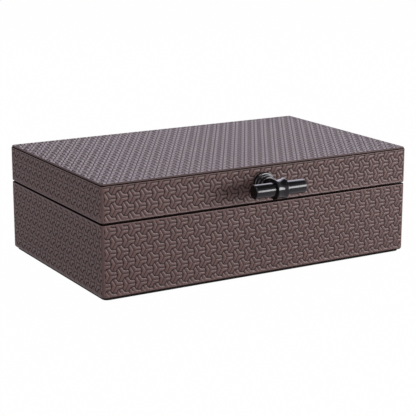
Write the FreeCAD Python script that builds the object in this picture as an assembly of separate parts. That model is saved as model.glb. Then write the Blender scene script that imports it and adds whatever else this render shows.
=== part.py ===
import FreeCAD, Part
import math
import os

# Storage box: a leather-wrapped base and a hinged lid with a bar knob, in millimetres.
# +X runs along the width, -Y is the front with the knob, +Y is the back with the hinges, +Z is up.
# The origin is the middle of the felt that the box stands on.

# Outside of the closed box
BOX_WIDTH = 320.0
BOX_DEPTH = 198.0
BASE_HEIGHT = 67.0
RIM_GAP = 1.0
LID_SIDE_HEIGHT = 31.3
TOP_PANEL_HEIGHT = 2.2
TOP_PANEL_INSET = 0.6

# Rounding of the leather
CORNER_ROUND = 3.0
BASE_FOOT_ROUND = 2.5
LID_TOP_ROUND = 1.2
RIM_ROUND = 1.2
RIM_INNER_ROUND = 0.6
TOP_PANEL_ROUND = 1.6
TOP_PANEL_FOOT_ROUND = 0.4

# Sheets and boards
LEATHER = 0.8
LEATHER_TURN_IN = 12.0
LEATHER_TURN_UNDER = 14.0
LEATHER_JOINT_GAP = 0.3
WALL_BOARD = 8.0
FLOOR_BOARD = 6.0
ROOF_BOARD = 6.0
TOP_CARD_EDGE_ROUND = 0.3
FELT = 1.5
FELT_INSET = 2.2
FELT_CORNER_ROUND = 5.0

# Lining
LINING_BOARD = 2.4
LINING_BELOW_RIM = 4.0
LINING_EDGE_ROUND = 0.9
FLOOR_PAD = 4.0
ROOF_PAD = 3.0
PAD_ROUND = 1.5
PAD_CORNER_ROUND = 2.0
PAD_CLEARANCE = 0.3

# Hinges
HINGE_FROM_SIDE = 60.0
HINGE_LENGTH = 36.0
HINGE_LEAF = 1.0
HINGE_LEAF_ON_BOARD = 7.0
HINGE_BARREL_DIAMETER = 4.0
HINGE_MIDDLE_KNUCKLE = 12.0
HINGE_END_PLAY = 0.3
HINGE_RUNNING_GAP = 0.3
HINGE_PIN_DIAMETER = 2.0
HINGE_PIN_FIT = 0.01
HINGE_PIN_PLAY = 0.05
HINGE_PIN_HEAD_DIAMETER = 3.2
HINGE_PIN_HEAD = 0.8
HINGE_STOP_REACH = 1.6
HINGE_STOP_THICKNESS = 0.8
HINGE_STOP_ROOT = 0.3
HINGE_STOP_PLAY = 0.05
HINGE_OPEN_ANGLE = 100.0
HINGE_RECESS_CLEARANCE = 0.15
HINGE_SCREW_SPACING = 22.0
HINGE_SCREW_DIAMETER = 2.2
HINGE_SCREW_HEAD_DIAMETER = 4.0
HINGE_SCREW_LENGTH = 10.0
SCREW_TIP = 1.6
SCREW_SLOT_WIDTH = 0.5
SCREW_SLOT_DEPTH = 0.4
SCREW_FIT = 0.03

# Knob on the lid
KNOB_ABOVE_MIDDLE = 0.4
ROSETTE_DIAMETER = 21.0
ROSETTE_RIM = 1.0
ROSETTE_BEVEL = 1.3
ROSETTE_STEP = 1.6
ROSETTE_FOOT = 5.0
ROSETTE_NECK_DIAMETER = 16.2
ROSETTE_HEIGHT = 10.6
ROSETTE_EDGE = 0.6
POST_DIAMETER = 7.0
POST_FOOT_DIAMETER = 6.0
POST_TENON_DIAMETER = 4.0
POST_FIT = 0.03
BAR_DIAMETER = 12.7
BAR_LENGTH = 52.0
BAR_FROM_LID = 25.0
BAR_END_ROUND = 0.8
COLLAR_DIAMETER = 18.5
COLLAR_WIDTH = 11.0
COLLAR_RIM = 1.0
COLLAR_WAIST = 0.8
COLLAR_EDGE = 0.4
KNOB_SCREW_DIAMETER = 4.0
KNOB_SCREW_CLEARANCE = 0.2
KNOB_SCREW_IN_POST = 11.0
KNOB_SCREW_HEAD_DIAMETER = 8.0
KNOB_SCREW_HEAD = 2.2
KNOB_WASHER_DIAMETER = 9.0
KNOB_WASHER = 0.8
KNOB_RECESS_CLEARANCE = 0.3

# Places worked out from the sizes above
HALF_WIDTH = BOX_WIDTH / 2
HALF_DEPTH = BOX_DEPTH / 2
BACK = HALF_DEPTH
FRONT = -HALF_DEPTH
INNER_X = HALF_WIDTH - LEATHER - WALL_BOARD
INNER_Y = HALF_DEPTH - LEATHER - WALL_BOARD
LID_RIM = BASE_HEIGHT + RIM_GAP
LID_TOP = LID_RIM + LID_SIDE_HEIGHT
BOX_TOP = LID_TOP + TOP_PANEL_HEIGHT
BASE_WRAP_HEIGHT = BASE_HEIGHT - FELT
BARREL_RADIUS = HINGE_BARREL_DIAMETER / 2
AXIS_Y = BACK + BARREL_RADIUS + HINGE_RUNNING_GAP
AXIS_Z = BASE_HEIGHT + RIM_GAP / 2
HINGE_SCREW_Y = BACK - LEATHER - HINGE_LEAF_ON_BOARD / 2
KNOB_Z = (LID_RIM + BOX_TOP) / 2 + KNOB_ABOVE_MIDDLE
BAR_Y = FRONT - BAR_FROM_LID
BEYOND = 5.0
TOLERANCE = 1e-6

VECTOR = FreeCAD.Vector
ALONG_X = VECTOR(1, 0, 0)
OUTWARD = VECTOR(0, -1, 0)
UPWARD = VECTOR(0, 0, 1)
ORIGIN = VECTOR(0, 0, 0)


def block(x0, x1, y0, y1, z0, z1):
    """A box between two corners."""
    return Part.makeBox(x1 - x0, y1 - y0, z1 - z0, VECTOR(x0, y0, z0))


def slab(half_x, half_y, z0, z1):
    """A box centred on the Z axis."""
    return block(-half_x, half_x, -half_y, half_y, z0, z1)


def level_edges(shape, z):
    """The edges of a shape that lie at one height."""
    return [edge for edge in shape.Edges
            if abs(edge.BoundBox.ZMin - z) < TOLERANCE and abs(edge.BoundBox.ZMax - z) < TOLERANCE]


def rounded_slab(half_x, half_y, z0, z1, corner, low_round=0.0, high_round=0.0):
    """A centred box with rounded upright edges, and rounded lower and upper edges where asked."""
    body = slab(half_x, half_y, z0, z1)
    upright = [edge for edge in body.Edges if edge.BoundBox.ZLength > TOLERANCE]
    body = body.makeFillet(corner, upright)
    if low_round:
        body = body.makeFillet(low_round, level_edges(body, z0))
    if high_round:
        body = body.makeFillet(high_round, level_edges(body, z1))
    return body


def turned(outline, centre, direction):
    """A solid of revolution about a line from an outline of (radius, distance along the line)."""
    points = [VECTOR(radius, 0, along) for radius, along in outline]
    return spun(Part.Face(Part.makePolygon(points + points[:1])), centre, direction)


def spun(face, centre, direction):
    """A face turned about the Z axis, and its solid set along a direction."""
    solid = face.revolve(ORIGIN, UPWARD, 360)
    solid.Placement = FreeCAD.Placement(centre, FreeCAD.Rotation(UPWARD, direction))
    return solid


def cylinder(diameter, start, direction, length):
    """A round bar from a point along a direction."""
    return Part.makeCylinder(diameter / 2, length, start, direction)


def x_cylinder(radius, x0, x1):
    """A round bar about the hinge axis between two places along the width."""
    return Part.makeCylinder(radius, x1 - x0, VECTOR(x0, AXIS_Y, AXIS_Z), ALONG_X)


def write(name, shape):
    """One piece, or one group of like pieces, in its own file."""
    if not shape.isValid():
        raise ValueError(f"{name} is not a valid solid")
    shape.exportStep(os.path.join("parts", f"{name}.step"))


# Both halves of the box are the same tray. It is made with its closed face at zero and its rim at
# a height, and the lid's tray is then turned over.

def tray_core(height, closed_round):
    """The outside of a tray's boards, which is the inside of its leather."""
    return rounded_slab(HALF_WIDTH - LEATHER, HALF_DEPTH - LEATHER, LEATHER, height - LEATHER,
                        CORNER_ROUND - LEATHER, closed_round - LEATHER, RIM_ROUND - LEATHER)


def tray_wall_ring(height, closed_round):
    """The four wall boards of a tray in one ring."""
    return tray_core(height, closed_round).cut(slab(INNER_X, INNER_Y, 0, height))


def tray_walls(height, closed_round):
    """The wall boards of a tray, mitred at the corners, by side."""
    ring = tray_wall_ring(height, closed_round)
    long_x, long_y = INNER_X + WALL_BOARD + BEYOND, INNER_Y + WALL_BOARD + BEYOND
    short_x, short_y = INNER_X - BEYOND, INNER_Y - BEYOND
    corners = {
        "front": [(-long_x, -long_y), (long_x, -long_y), (short_x, -short_y), (-short_x, -short_y)],
        "back": [(-long_x, long_y), (long_x, long_y), (short_x, short_y), (-short_x, short_y)],
        "left": [(-long_x, -long_y), (-long_x, long_y), (-short_x, short_y), (-short_x, -short_y)],
        "right": [(long_x, -long_y), (long_x, long_y), (short_x, short_y), (short_x, -short_y)],
    }
    walls = {}
    for side, outline in corners.items():
        points = [VECTOR(x, y, 0) for x, y in outline]
        wedge = Part.Face(Part.makePolygon(points + points[:1])).extrude(UPWARD * height)
        walls[side] = ring.common(wedge).Solids[0]
    return walls


def tray_turn_in(height):
    """The leather that is turned in over the rim and lies on the inside of the walls."""
    outside = slab(INNER_X, INNER_Y, height - LEATHER_TURN_IN, height)
    return outside.cut(slab(INNER_X - LEATHER, INNER_Y - LEATHER, 0, height))


def tray_wrap(height, closed_round):
    """The leather round the walls of a tray, turned in over the rim and under the closed face."""
    wrap = rounded_slab(HALF_WIDTH, HALF_DEPTH, 0, height, CORNER_ROUND, closed_round, RIM_ROUND)
    wrap = wrap.cut(tray_wall_ring(height, closed_round))
    wrap = wrap.cut(slab(INNER_X, INNER_Y, LEATHER, height - LEATHER_TURN_IN))
    wrap = wrap.cut(slab(INNER_X - LEATHER, INNER_Y - LEATHER, LEATHER, height + BEYOND))
    wrap = wrap.cut(slab(HALF_WIDTH - LEATHER_TURN_UNDER, HALF_DEPTH - LEATHER_TURN_UNDER, -BEYOND, BEYOND))
    rim_inside = [edge for edge in level_edges(wrap, height)
                  if max(abs(edge.BoundBox.XMin), abs(edge.BoundBox.XMax)) < INNER_X
                  and max(abs(edge.BoundBox.YMin), abs(edge.BoundBox.YMax)) < INNER_Y]
    wrap = wrap.makeFillet(RIM_INNER_ROUND, rim_inside)
    joint = block(-LEATHER_JOINT_GAP / 2, LEATHER_JOINT_GAP / 2, 0, BACK + BEYOND, -BEYOND, height + BEYOND)
    return wrap.cut(joint)


def tray_board(thickness):
    """The closed board of a tray, rebated round its outer face for the leather."""
    board = slab(INNER_X, INNER_Y, 0, thickness)
    rebate = slab(INNER_X, INNER_Y, 0, LEATHER)
    kept = slab(HALF_WIDTH - LEATHER_TURN_UNDER, HALF_DEPTH - LEATHER_TURN_UNDER, 0, LEATHER)
    return board.cut(rebate.cut(kept))


def tray_linings(height, board):
    """The lining boards on the walls of a tray, rebated over the turned-in leather, by side."""
    top = height - LINING_BELOW_RIM
    near_x, near_y = INNER_X - LINING_BOARD, INNER_Y - LINING_BOARD
    blanks = {
        "front": block(-INNER_X, INNER_X, -INNER_Y, -near_y, board, top),
        "back": block(-INNER_X, INNER_X, near_y, INNER_Y, board, top),
        "left": block(-INNER_X, -near_x, -near_y, near_y, board, top),
        "right": block(near_x, INNER_X, -near_y, near_y, board, top),
    }
    turn_in = tray_turn_in(height)
    linings = {}
    for side, blank in blanks.items():
        panel = blank.cut(turn_in)
        inner_top = [edge for edge in level_edges(panel, top)
                     if abs(abs(edge.CenterOfMass.x) - near_x) < TOLERANCE
                     or abs(abs(edge.CenterOfMass.y) - near_y) < TOLERANCE and side in ("front", "back")]
        linings[side] = panel.makeFillet(LINING_EDGE_ROUND, inner_top)
    return linings


def tray_pad(board, thickness):
    """The padded lining of a tray's closed board."""
    inset = LINING_BOARD + PAD_CLEARANCE
    return rounded_slab(INNER_X - inset, INNER_Y - inset, board, board + thickness, PAD_CORNER_ROUND,
                        0, PAD_ROUND)


def as_base(shape):
    """A tray's piece in the base, above the felt."""
    placed = shape.copy()
    placed.translate(VECTOR(0, 0, FELT))
    return placed


def as_lid(shape):
    """A tray's piece in the lid, turned over."""
    placed = shape.mirror(ORIGIN, UPWARD)
    placed.translate(VECTOR(0, 0, LID_TOP))
    return placed


def over_rim_gap(shape):
    """A hinge piece of the base, turned over for the lid."""
    return shape.mirror(VECTOR(0, 0, AXIS_Z), UPWARD)


# Hinges: each has a leaf on the rim of the base, a leaf on the rim of the lid and a pin. Ribs along
# the barrels meet when the lid stands open and stop it there.

def hinge_places():
    """The middle of each hinge along the width, by side."""
    middle = HALF_WIDTH - HINGE_FROM_SIDE
    return {"left": -middle, "right": middle}


def knuckle_spans(middle):
    """The stretches of barrel on the base leaf and on the lid leaf."""
    half = HINGE_LENGTH / 2
    inner = HINGE_MIDDLE_KNUCKLE / 2
    near = inner + HINGE_END_PLAY
    base = [(middle - half, middle - near), (middle + near, middle + half)]
    return base, [(middle - inner, middle + inner)]


def stop_rib(x0, x1, root):
    """A rib out of the barrel, before it is turned to its angle: it points along +Y."""
    half = HINGE_STOP_THICKNESS / 2
    tip = BARREL_RADIUS + HINGE_STOP_REACH
    return block(x0, x1, AXIS_Y + root, AXIS_Y + tip, AXIS_Z - half, AXIS_Z + half)


def stop_angle():
    """How far each rib stands from the level, so that the ribs meet at the open angle."""
    near = BARREL_RADIUS + HINGE_RUNNING_GAP
    meeting = 2 * math.degrees(math.asin((HINGE_STOP_THICKNESS / 2 + HINGE_STOP_PLAY) / near))
    return (HINGE_OPEN_ANGLE + meeting) / 2


def hinge_leaf(middle, own_spans, other_spans, rib_spans, pin_gap):
    """A leaf on the base's rim with its knuckles and its stop rib, bored for the pin and the screws."""
    half = HINGE_LENGTH / 2
    rim_board = BASE_HEIGHT - LEATHER
    board_edge = BACK - LEATHER
    plate = block(middle - half, middle + half, board_edge - HINGE_LEAF_ON_BOARD, AXIS_Y,
                  rim_board, rim_board + HINGE_LEAF)
    for x0, x1 in other_spans:
        clear = BARREL_RADIUS + HINGE_RUNNING_GAP
        room = block(x0 - HINGE_END_PLAY, x1 + HINGE_END_PLAY, AXIS_Y - clear, AXIS_Y + clear,
                     AXIS_Z - clear, AXIS_Z + clear)
        plate = plate.cut(room)
    leaf = plate
    for x0, x1 in own_spans:
        leaf = leaf.fuse(x_cylinder(BARREL_RADIUS, x0, x1))
    for x0, x1, root in rib_spans:
        rib = stop_rib(x0, x1, root)
        rib.rotate(VECTOR(0, AXIS_Y, AXIS_Z), ALONG_X, -stop_angle())
        leaf = leaf.fuse(rib)
    leaf = leaf.removeSplitter()
    bore = x_cylinder(HINGE_PIN_DIAMETER / 2 + pin_gap, middle - HINGE_LENGTH, middle + HINGE_LENGTH)
    leaf = leaf.cut(bore)
    for x in screw_places(middle):
        leaf = leaf.cut(hinge_screw(x, SCREW_FIT))
    return leaf


def screw_places(middle):
    """The places of a leaf's screws along the width."""
    return [middle - HINGE_SCREW_SPACING / 2, middle + HINGE_SCREW_SPACING / 2]


def hinge_screw(x, fit=0.0):
    """A countersunk wood screw down through a base leaf, or with a fit, the hole for it."""
    shank = HINGE_SCREW_DIAMETER / 2 + fit
    head = HINGE_SCREW_HEAD_DIAMETER / 2 + fit
    length = HINGE_SCREW_LENGTH + fit
    outline = [(0, 0), (head, 0), (shank, HINGE_LEAF), (shank, length - SCREW_TIP), (0, length)]
    top = VECTOR(x, HINGE_SCREW_Y, BASE_HEIGHT - LEATHER + HINGE_LEAF)
    return turned(outline, top, VECTOR(0, 0, -1))


def slotted(screw, x):
    """The screw with a slot across its head."""
    top = BASE_HEIGHT - LEATHER + HINGE_LEAF
    half_head = HINGE_SCREW_HEAD_DIAMETER / 2
    slot = block(x - half_head, x + half_head, HINGE_SCREW_Y - SCREW_SLOT_WIDTH / 2,
                 HINGE_SCREW_Y + SCREW_SLOT_WIDTH / 2, top - SCREW_SLOT_DEPTH, top)
    return screw.cut(slot)


def screw_holes():
    """The holes for all the screws of the base leaves."""
    return [hinge_screw(x, SCREW_FIT) for middle in hinge_places().values() for x in screw_places(middle)]


def base_leaf(middle):
    """The leaf on the base, whose two outer knuckles hold the pin fast."""
    base_spans, lid_spans = knuckle_spans(middle)
    root = BARREL_RADIUS - HINGE_STOP_ROOT
    clear = BARREL_RADIUS + HINGE_RUNNING_GAP
    ribs = [(x0, x1, root) for x0, x1 in base_spans]
    ribs.append((base_spans[0][0], base_spans[1][1], clear))
    return hinge_leaf(middle, base_spans, lid_spans, ribs, HINGE_PIN_FIT)


def lid_leaf(middle):
    """The leaf on the lid, whose middle knuckle turns on the pin."""
    base_spans, lid_spans = knuckle_spans(middle)
    root = BARREL_RADIUS - HINGE_STOP_ROOT
    ribs = [(x0, x1, root) for x0, x1 in lid_spans]
    return over_rim_gap(hinge_leaf(middle, lid_spans, base_spans, ribs, HINGE_PIN_PLAY))


def hinge_pin(middle):
    """A pin with a flat head at each end."""
    half = HINGE_LENGTH / 2
    pin = x_cylinder(HINGE_PIN_DIAMETER / 2, middle - half, middle + half)
    head = HINGE_PIN_HEAD_DIAMETER / 2
    pin = pin.fuse(x_cylinder(head, middle - half - HINGE_PIN_HEAD, middle - half))
    return pin.fuse(x_cylinder(head, middle + half, middle + half + HINGE_PIN_HEAD)).removeSplitter()


def leaf_recesses():
    """The room in the base's leather for the leaves."""
    half = HINGE_LENGTH / 2 + HINGE_RECESS_CLEARANCE
    inner = BACK - LEATHER - HINGE_LEAF_ON_BOARD - HINGE_RECESS_CLEARANCE
    rim_board = BASE_HEIGHT - LEATHER
    return [block(middle - half, middle + half, inner, BACK + BEYOND, rim_board, rim_board + BEYOND)
            for middle in hinge_places().values()]


# Knob: a bar through a collar, on a post that stands on a rosette. A screw from inside the lid holds it.

def knob_screw_hole():
    """The hole for the knob's screw through the lid's front, with room for its head and washer."""
    clear = KNOB_SCREW_DIAMETER + 2 * KNOB_SCREW_CLEARANCE
    hole = cylinder(clear, VECTOR(0, -INNER_Y, KNOB_Z), OUTWARD, WALL_BOARD + LEATHER + BEYOND)
    room = KNOB_WASHER_DIAMETER + 2 * KNOB_RECESS_CLEARANCE
    recess = cylinder(room, VECTOR(0, -INNER_Y, KNOB_Z), OUTWARD, knob_recess_depth())
    return hole.fuse(recess)


def knob_recess_depth():
    """How deep the head and the washer lie in the lid's front board."""
    return KNOB_SCREW_HEAD + KNOB_WASHER + KNOB_RECESS_CLEARANCE


def knob_rosette():
    """The stepped foot of the knob on the leather."""
    rim = ROSETTE_DIAMETER / 2
    neck = ROSETTE_NECK_DIAMETER / 2
    bore = POST_FOOT_DIAMETER / 2 + POST_FIT
    top_of_bevel = ROSETTE_RIM + ROSETTE_BEVEL
    step = rim - ROSETTE_BEVEL - ROSETTE_STEP / 2
    outline = [(bore, 0), (rim, 0), (rim, ROSETTE_RIM), (rim - ROSETTE_BEVEL, top_of_bevel),
               (step, top_of_bevel), (step, ROSETTE_FOOT), (neck, ROSETTE_FOOT),
               (neck, ROSETTE_HEIGHT - ROSETTE_EDGE), (neck - ROSETTE_EDGE, ROSETTE_HEIGHT),
               (bore, ROSETTE_HEIGHT)]
    return turned(outline, VECTOR(0, FRONT, KNOB_Z), OUTWARD)


def knob_post():
    """The post, tapped for the screw, with a tenon into the collar."""
    foot = cylinder(POST_FOOT_DIAMETER, VECTOR(0, FRONT, KNOB_Z), OUTWARD, ROSETTE_HEIGHT)
    on_rosette = VECTOR(0, FRONT - ROSETTE_HEIGHT, KNOB_Z)
    to_bar = BAR_FROM_LID - ROSETTE_HEIGHT
    stem = cylinder(POST_DIAMETER, on_rosette, OUTWARD, to_bar).cut(collar_blank(POST_FIT))
    tenon = cylinder(POST_TENON_DIAMETER, on_rosette, OUTWARD, to_bar).cut(bar_room(POST_FIT))
    post = foot.fuse(stem).fuse(tenon).removeSplitter()
    thread = cylinder(KNOB_SCREW_DIAMETER + 2 * SCREW_FIT, VECTOR(0, FRONT, KNOB_Z), OUTWARD,
                      KNOB_SCREW_IN_POST + KNOB_RECESS_CLEARANCE)
    return post.cut(thread)


def bar_room(fit):
    """The space of the bar through the collar."""
    half = COLLAR_WIDTH
    return Part.makeCylinder(BAR_DIAMETER / 2 + fit, 2 * half, VECTOR(-half, BAR_Y, KNOB_Z), ALONG_X)


def collar_blank(fit=0.0):
    """The outside of the collar: a drum drawn in at its waist, with its edges broken."""
    half = COLLAR_WIDTH / 2
    rim = COLLAR_DIAMETER / 2 + fit
    side = [(0, half), (rim - COLLAR_EDGE, half), (rim, half - COLLAR_EDGE), (rim, half - COLLAR_RIM)]
    left = [VECTOR(radius, 0, -along) for radius, along in side]
    right = [VECTOR(radius, 0, along) for radius, along in reversed(side)]
    waist = Part.Arc(left[-1], VECTOR(rim - COLLAR_WAIST, 0, 0), right[0]).toShape()
    straight = Part.makePolygon(right + left)
    return spun(Part.Face(Part.Wire([waist, *straight.Edges])), VECTOR(0, BAR_Y, KNOB_Z), ALONG_X)


def knob_collar():
    """The collar that holds the bar, bored for the post's tenon."""
    collar = collar_blank().cut(bar_room(POST_FIT))
    mortise = cylinder(POST_TENON_DIAMETER + 2 * POST_FIT, VECTOR(0, FRONT, KNOB_Z), OUTWARD, BAR_FROM_LID)
    return collar.cut(mortise)


def knob_bar():
    """The grip of the knob."""
    half = BAR_LENGTH / 2
    bar = Part.makeCylinder(BAR_DIAMETER / 2, BAR_LENGTH, VECTOR(-half, BAR_Y, KNOB_Z), ALONG_X)
    rims = [edge for edge in bar.Edges if edge.Closed and abs(abs(edge.CenterOfMass.x) - half) < TOLERANCE]
    return bar.makeFillet(BAR_END_ROUND, rims)


def knob_washer():
    """The washer under the screw's head."""
    seat = VECTOR(0, -INNER_Y - knob_recess_depth(), KNOB_Z)
    washer = cylinder(KNOB_WASHER_DIAMETER, seat, -OUTWARD, KNOB_WASHER)
    return washer.cut(cylinder(KNOB_SCREW_DIAMETER + 2 * KNOB_SCREW_CLEARANCE, seat, -OUTWARD, KNOB_WASHER))


def knob_screw():
    """The screw from inside the lid into the post."""
    head = KNOB_SCREW_HEAD_DIAMETER / 2
    shank = KNOB_SCREW_DIAMETER / 2
    under_head = VECTOR(0, -INNER_Y - knob_recess_depth() + KNOB_WASHER, KNOB_Z)
    length = KNOB_WASHER + WALL_BOARD - knob_recess_depth() + LEATHER + KNOB_SCREW_IN_POST
    outline = [(0, -KNOB_SCREW_HEAD), (head, -KNOB_SCREW_HEAD), (head, 0),
               (shank, 0), (shank, length), (0, length)]
    screw = turned(outline, under_head, OUTWARD)
    head_top = under_head.y + KNOB_SCREW_HEAD
    slot = block(-head, head, head_top - SCREW_SLOT_DEPTH, head_top,
                 KNOB_Z - SCREW_SLOT_WIDTH, KNOB_Z + SCREW_SLOT_WIDTH)
    return screw.cut(slot)


def write_base():
    """The base: felt, boards, leather and lining."""
    felt_x, felt_y = HALF_WIDTH - FELT_INSET, HALF_DEPTH - FELT_INSET
    write("base_felt", rounded_slab(felt_x, felt_y, 0, FELT, FELT_CORNER_ROUND))
    write("base_floor_board", as_base(tray_board(FLOOR_BOARD)))
    walls = tray_walls(BASE_WRAP_HEIGHT, BASE_FOOT_ROUND)
    for side, wall in walls.items():
        board = as_base(wall)
        if side == "back":
            for hole in screw_holes():
                board = board.cut(hole)
        write(f"base_{side}_board", board)
    wrap = as_base(tray_wrap(BASE_WRAP_HEIGHT, BASE_FOOT_ROUND))
    for recess in leaf_recesses():
        wrap = wrap.cut(recess)
    write("base_leather_wrap", wrap)
    for side, lining in tray_linings(BASE_WRAP_HEIGHT, FLOOR_BOARD).items():
        write(f"base_{side}_lining", as_base(lining))
    write("base_floor_pad", as_base(tray_pad(FLOOR_BOARD, FLOOR_PAD)))


def write_lid():
    """The lid: boards, leather, top panel and lining."""
    write("lid_roof_board", as_lid(tray_board(ROOF_BOARD)))
    walls = tray_walls(LID_SIDE_HEIGHT, LID_TOP_ROUND)
    for side, wall in walls.items():
        board = as_lid(wall)
        if side == "back":
            for hole in screw_holes():
                board = board.cut(over_rim_gap(hole))
        if side == "front":
            board = board.cut(knob_screw_hole())
        write(f"lid_{side}_board", board)
    wrap = as_lid(tray_wrap(LID_SIDE_HEIGHT, LID_TOP_ROUND))
    for recess in leaf_recesses():
        wrap = wrap.cut(over_rim_gap(recess))
    write("lid_leather_wrap", wrap.cut(knob_screw_hole()))
    for side, lining in tray_linings(LID_SIDE_HEIGHT, ROOF_BOARD).items():
        write(f"lid_{side}_lining", as_lid(lining))
    write("lid_roof_pad", as_lid(tray_pad(ROOF_BOARD, ROOF_PAD)))


def write_top_panel():
    """The covered panel on top of the lid: a card and the leather round it."""
    half_x, half_y = HALF_WIDTH - TOP_PANEL_INSET, HALF_DEPTH - TOP_PANEL_INSET
    corner = CORNER_ROUND - TOP_PANEL_INSET
    edge = rounded_slab(half_x - LEATHER, half_y - LEATHER, LID_TOP + LEATHER, BOX_TOP - LEATHER,
                        corner - LEATHER, 0, TOP_CARD_EDGE_ROUND)
    middle = slab(half_x - LEATHER_TURN_UNDER, half_y - LEATHER_TURN_UNDER, LID_TOP, LID_TOP + LEATHER)
    write("lid_top_card", edge.fuse(middle).removeSplitter())
    cover = rounded_slab(half_x, half_y, LID_TOP, BOX_TOP, corner, TOP_PANEL_FOOT_ROUND, TOP_PANEL_ROUND)
    write("lid_top_leather", cover.cut(edge).cut(middle))


def write_hinges():
    """Both hinges with their pins and screws."""
    base_screws = []
    for side, middle in hinge_places().items():
        write(f"hinge_{side}_base_leaf", base_leaf(middle))
        write(f"hinge_{side}_lid_leaf", lid_leaf(middle))
        write(f"hinge_{side}_pin", hinge_pin(middle))
        base_screws += [slotted(hinge_screw(x), x) for x in screw_places(middle)]
    write("hinge_base_screws", Part.makeCompound(base_screws))
    write("hinge_lid_screws", Part.makeCompound([over_rim_gap(screw) for screw in base_screws]))


def write_knob():
    """The knob and its fixing."""
    write("knob_rosette", knob_rosette())
    write("knob_post", knob_post())
    write("knob_collar", knob_collar())
    write("knob_bar", knob_bar())
    write("knob_washer", knob_washer())
    write("knob_screw", knob_screw())


os.makedirs("parts", exist_ok=True)
write_base()
write_lid()
write_top_panel()
write_hinges()
write_knob()
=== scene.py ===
"""Looks of a leather storage box with a hinged lid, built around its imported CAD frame."""

import math

import bmesh
import bpy
import numpy as np
from bpy.props import FloatProperty, FloatVectorProperty, IntProperty, PointerProperty
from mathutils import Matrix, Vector


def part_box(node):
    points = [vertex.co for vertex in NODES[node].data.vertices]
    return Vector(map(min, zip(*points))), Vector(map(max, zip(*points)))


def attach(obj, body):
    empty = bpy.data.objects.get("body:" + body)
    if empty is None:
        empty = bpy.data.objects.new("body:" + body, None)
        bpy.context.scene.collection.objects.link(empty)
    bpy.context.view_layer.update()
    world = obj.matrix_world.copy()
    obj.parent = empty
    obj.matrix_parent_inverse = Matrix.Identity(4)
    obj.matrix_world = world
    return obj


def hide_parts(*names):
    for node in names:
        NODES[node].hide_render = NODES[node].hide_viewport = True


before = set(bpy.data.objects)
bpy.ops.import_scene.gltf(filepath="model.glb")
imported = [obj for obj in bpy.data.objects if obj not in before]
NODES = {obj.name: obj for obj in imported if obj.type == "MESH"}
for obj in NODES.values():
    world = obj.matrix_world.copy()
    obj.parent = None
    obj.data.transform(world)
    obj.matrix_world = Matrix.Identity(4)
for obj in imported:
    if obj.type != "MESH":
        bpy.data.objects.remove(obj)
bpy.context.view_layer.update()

bl_info = {
    "name": "Storage box",
    "version": (1, 0, 0),
    "blender": (4, 5, 0),
    "location": "View3D > Sidebar > Storage box",
    "description": "Leather, lining, metal and studio for a storage box with a hinged lid",
    "category": "Object",
}

# Meshes are worked out in millimetres and written in metres.
MM = 0.001


def node_box(name):
    """Lowest and highest corner of a CAD node, in millimetres."""
    low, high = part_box(name)
    return np.array(low) / MM, np.array(high) / MM


WRAP_LOW, WRAP_HIGH = node_box("base_leather_wrap")
LID_LOW, LID_HIGH = node_box("lid_leather_wrap")
PANEL_LOW, PANEL_HIGH = node_box("lid_top_leather")
CARD_TOP = node_box("lid_top_card")[1][2]
HALF_WIDTH = WRAP_HIGH[0]
HALF_DEPTH = WRAP_HIGH[1]

# Leather sheet and the boards under it
LEATHER = 0.8
WALL_BOARD = 8.0
TURN_IN = 12.0
TURN_UNDER = 14.0

# Upright corners of the leather, and how it is drawn in towards them
CORNER_ROUND = 3.0
LEAST_ROUND = 0.4
CORNER_SQUEEZE = 30.0
CORNER_STEPS = 6

# Rims, foot and the groove under the top panel
RIM_ROUND = 1.15
RIM_INNER_ROUND = 0.6
FOOT_ROUND = 2.5
LID_TOP_ROUND = 0.9
LID_LIP = 1.3
LIP_WIDTH = 1.25

# Painted shade in the seams, at the foot and in the groove under the top panel: its width on a rim, rows of
# points, and the value that marks it
RIM_SHADE_WIDTH = 2.2
RIM_SHADE_FADE = 0.5
RIM_DARK_FROM = 1
RIM_DARK_ROWS = 4
END_DARK_FROM = 1
SHADE_RELIEF = -1.0

# Joint of the leather's ends at the back
JOINT_HALF_WIDTH = 0.35
JOINT_INNER = JOINT_HALF_WIDTH / 4
JOINT_DEPTH = 0.6

# Plain leather beside an edge: its width at a rim, and the part of the fade's width used elsewhere
RIM_PLAIN = 0.2
END_FADE_PART = 2
PANEL_FADE_PART = 3

# Angles at which rounded edges get rows of points, in degrees
RIM_TURNS = (22.5, 45.0, 67.5, 90.0)
END_TURNS = (18.0, 36.0, 54.0, 72.0, 90.0)
INNER_TURNS = (30.0, 60.0, 90.0)
UNDER_TURNS = (90.0, 45.0, 0.0)
ROLL_TURNS = (15.0, 30.0, 45.0, 60.0, 75.0, 90.0)

# Limits for points that count as on a line or in one place, and how far a cut reaches
CUT_SNAP = 0.02
CUT_LIMIT = 0.0001
CUT_REACH = 14.0
PANEL_CUT_REACH = 3.0
LOOP_LIMIT = 0.01
EDGE_LIMIT = 0.001
MERGE = 0.005
TINY = 1e-6

# Weight of broad faces in the shading of embossed leather
TOPS_WEIGHT = 75

# Recesses for the hinge leaves in the rims
HINGE_MIDDLE = 100.0
LEAF_HALF_LENGTH = 18.16
LEAF_WALL = 0.2
LEAF_MARGIN = LEAF_WALL / 4
LEAF_INNER_Y = 91.0
LEAF_ROOM = 0.85
LEAF_UNDERSIDE = 0.6

# Emboss: three-armed tiles that lock into each other
TILE_ACROSS = (0.0, 0.2, 0.5, 0.82, 1.0)
TILE_SIDE_HALF = 0.5 / math.sqrt(3)
TILE_ROW = math.sqrt(3) / 2
SWELL_POWER = 1.5
SHOULDER_SHARE = 0.24
LINE_SHOULDER = 0.2


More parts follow.
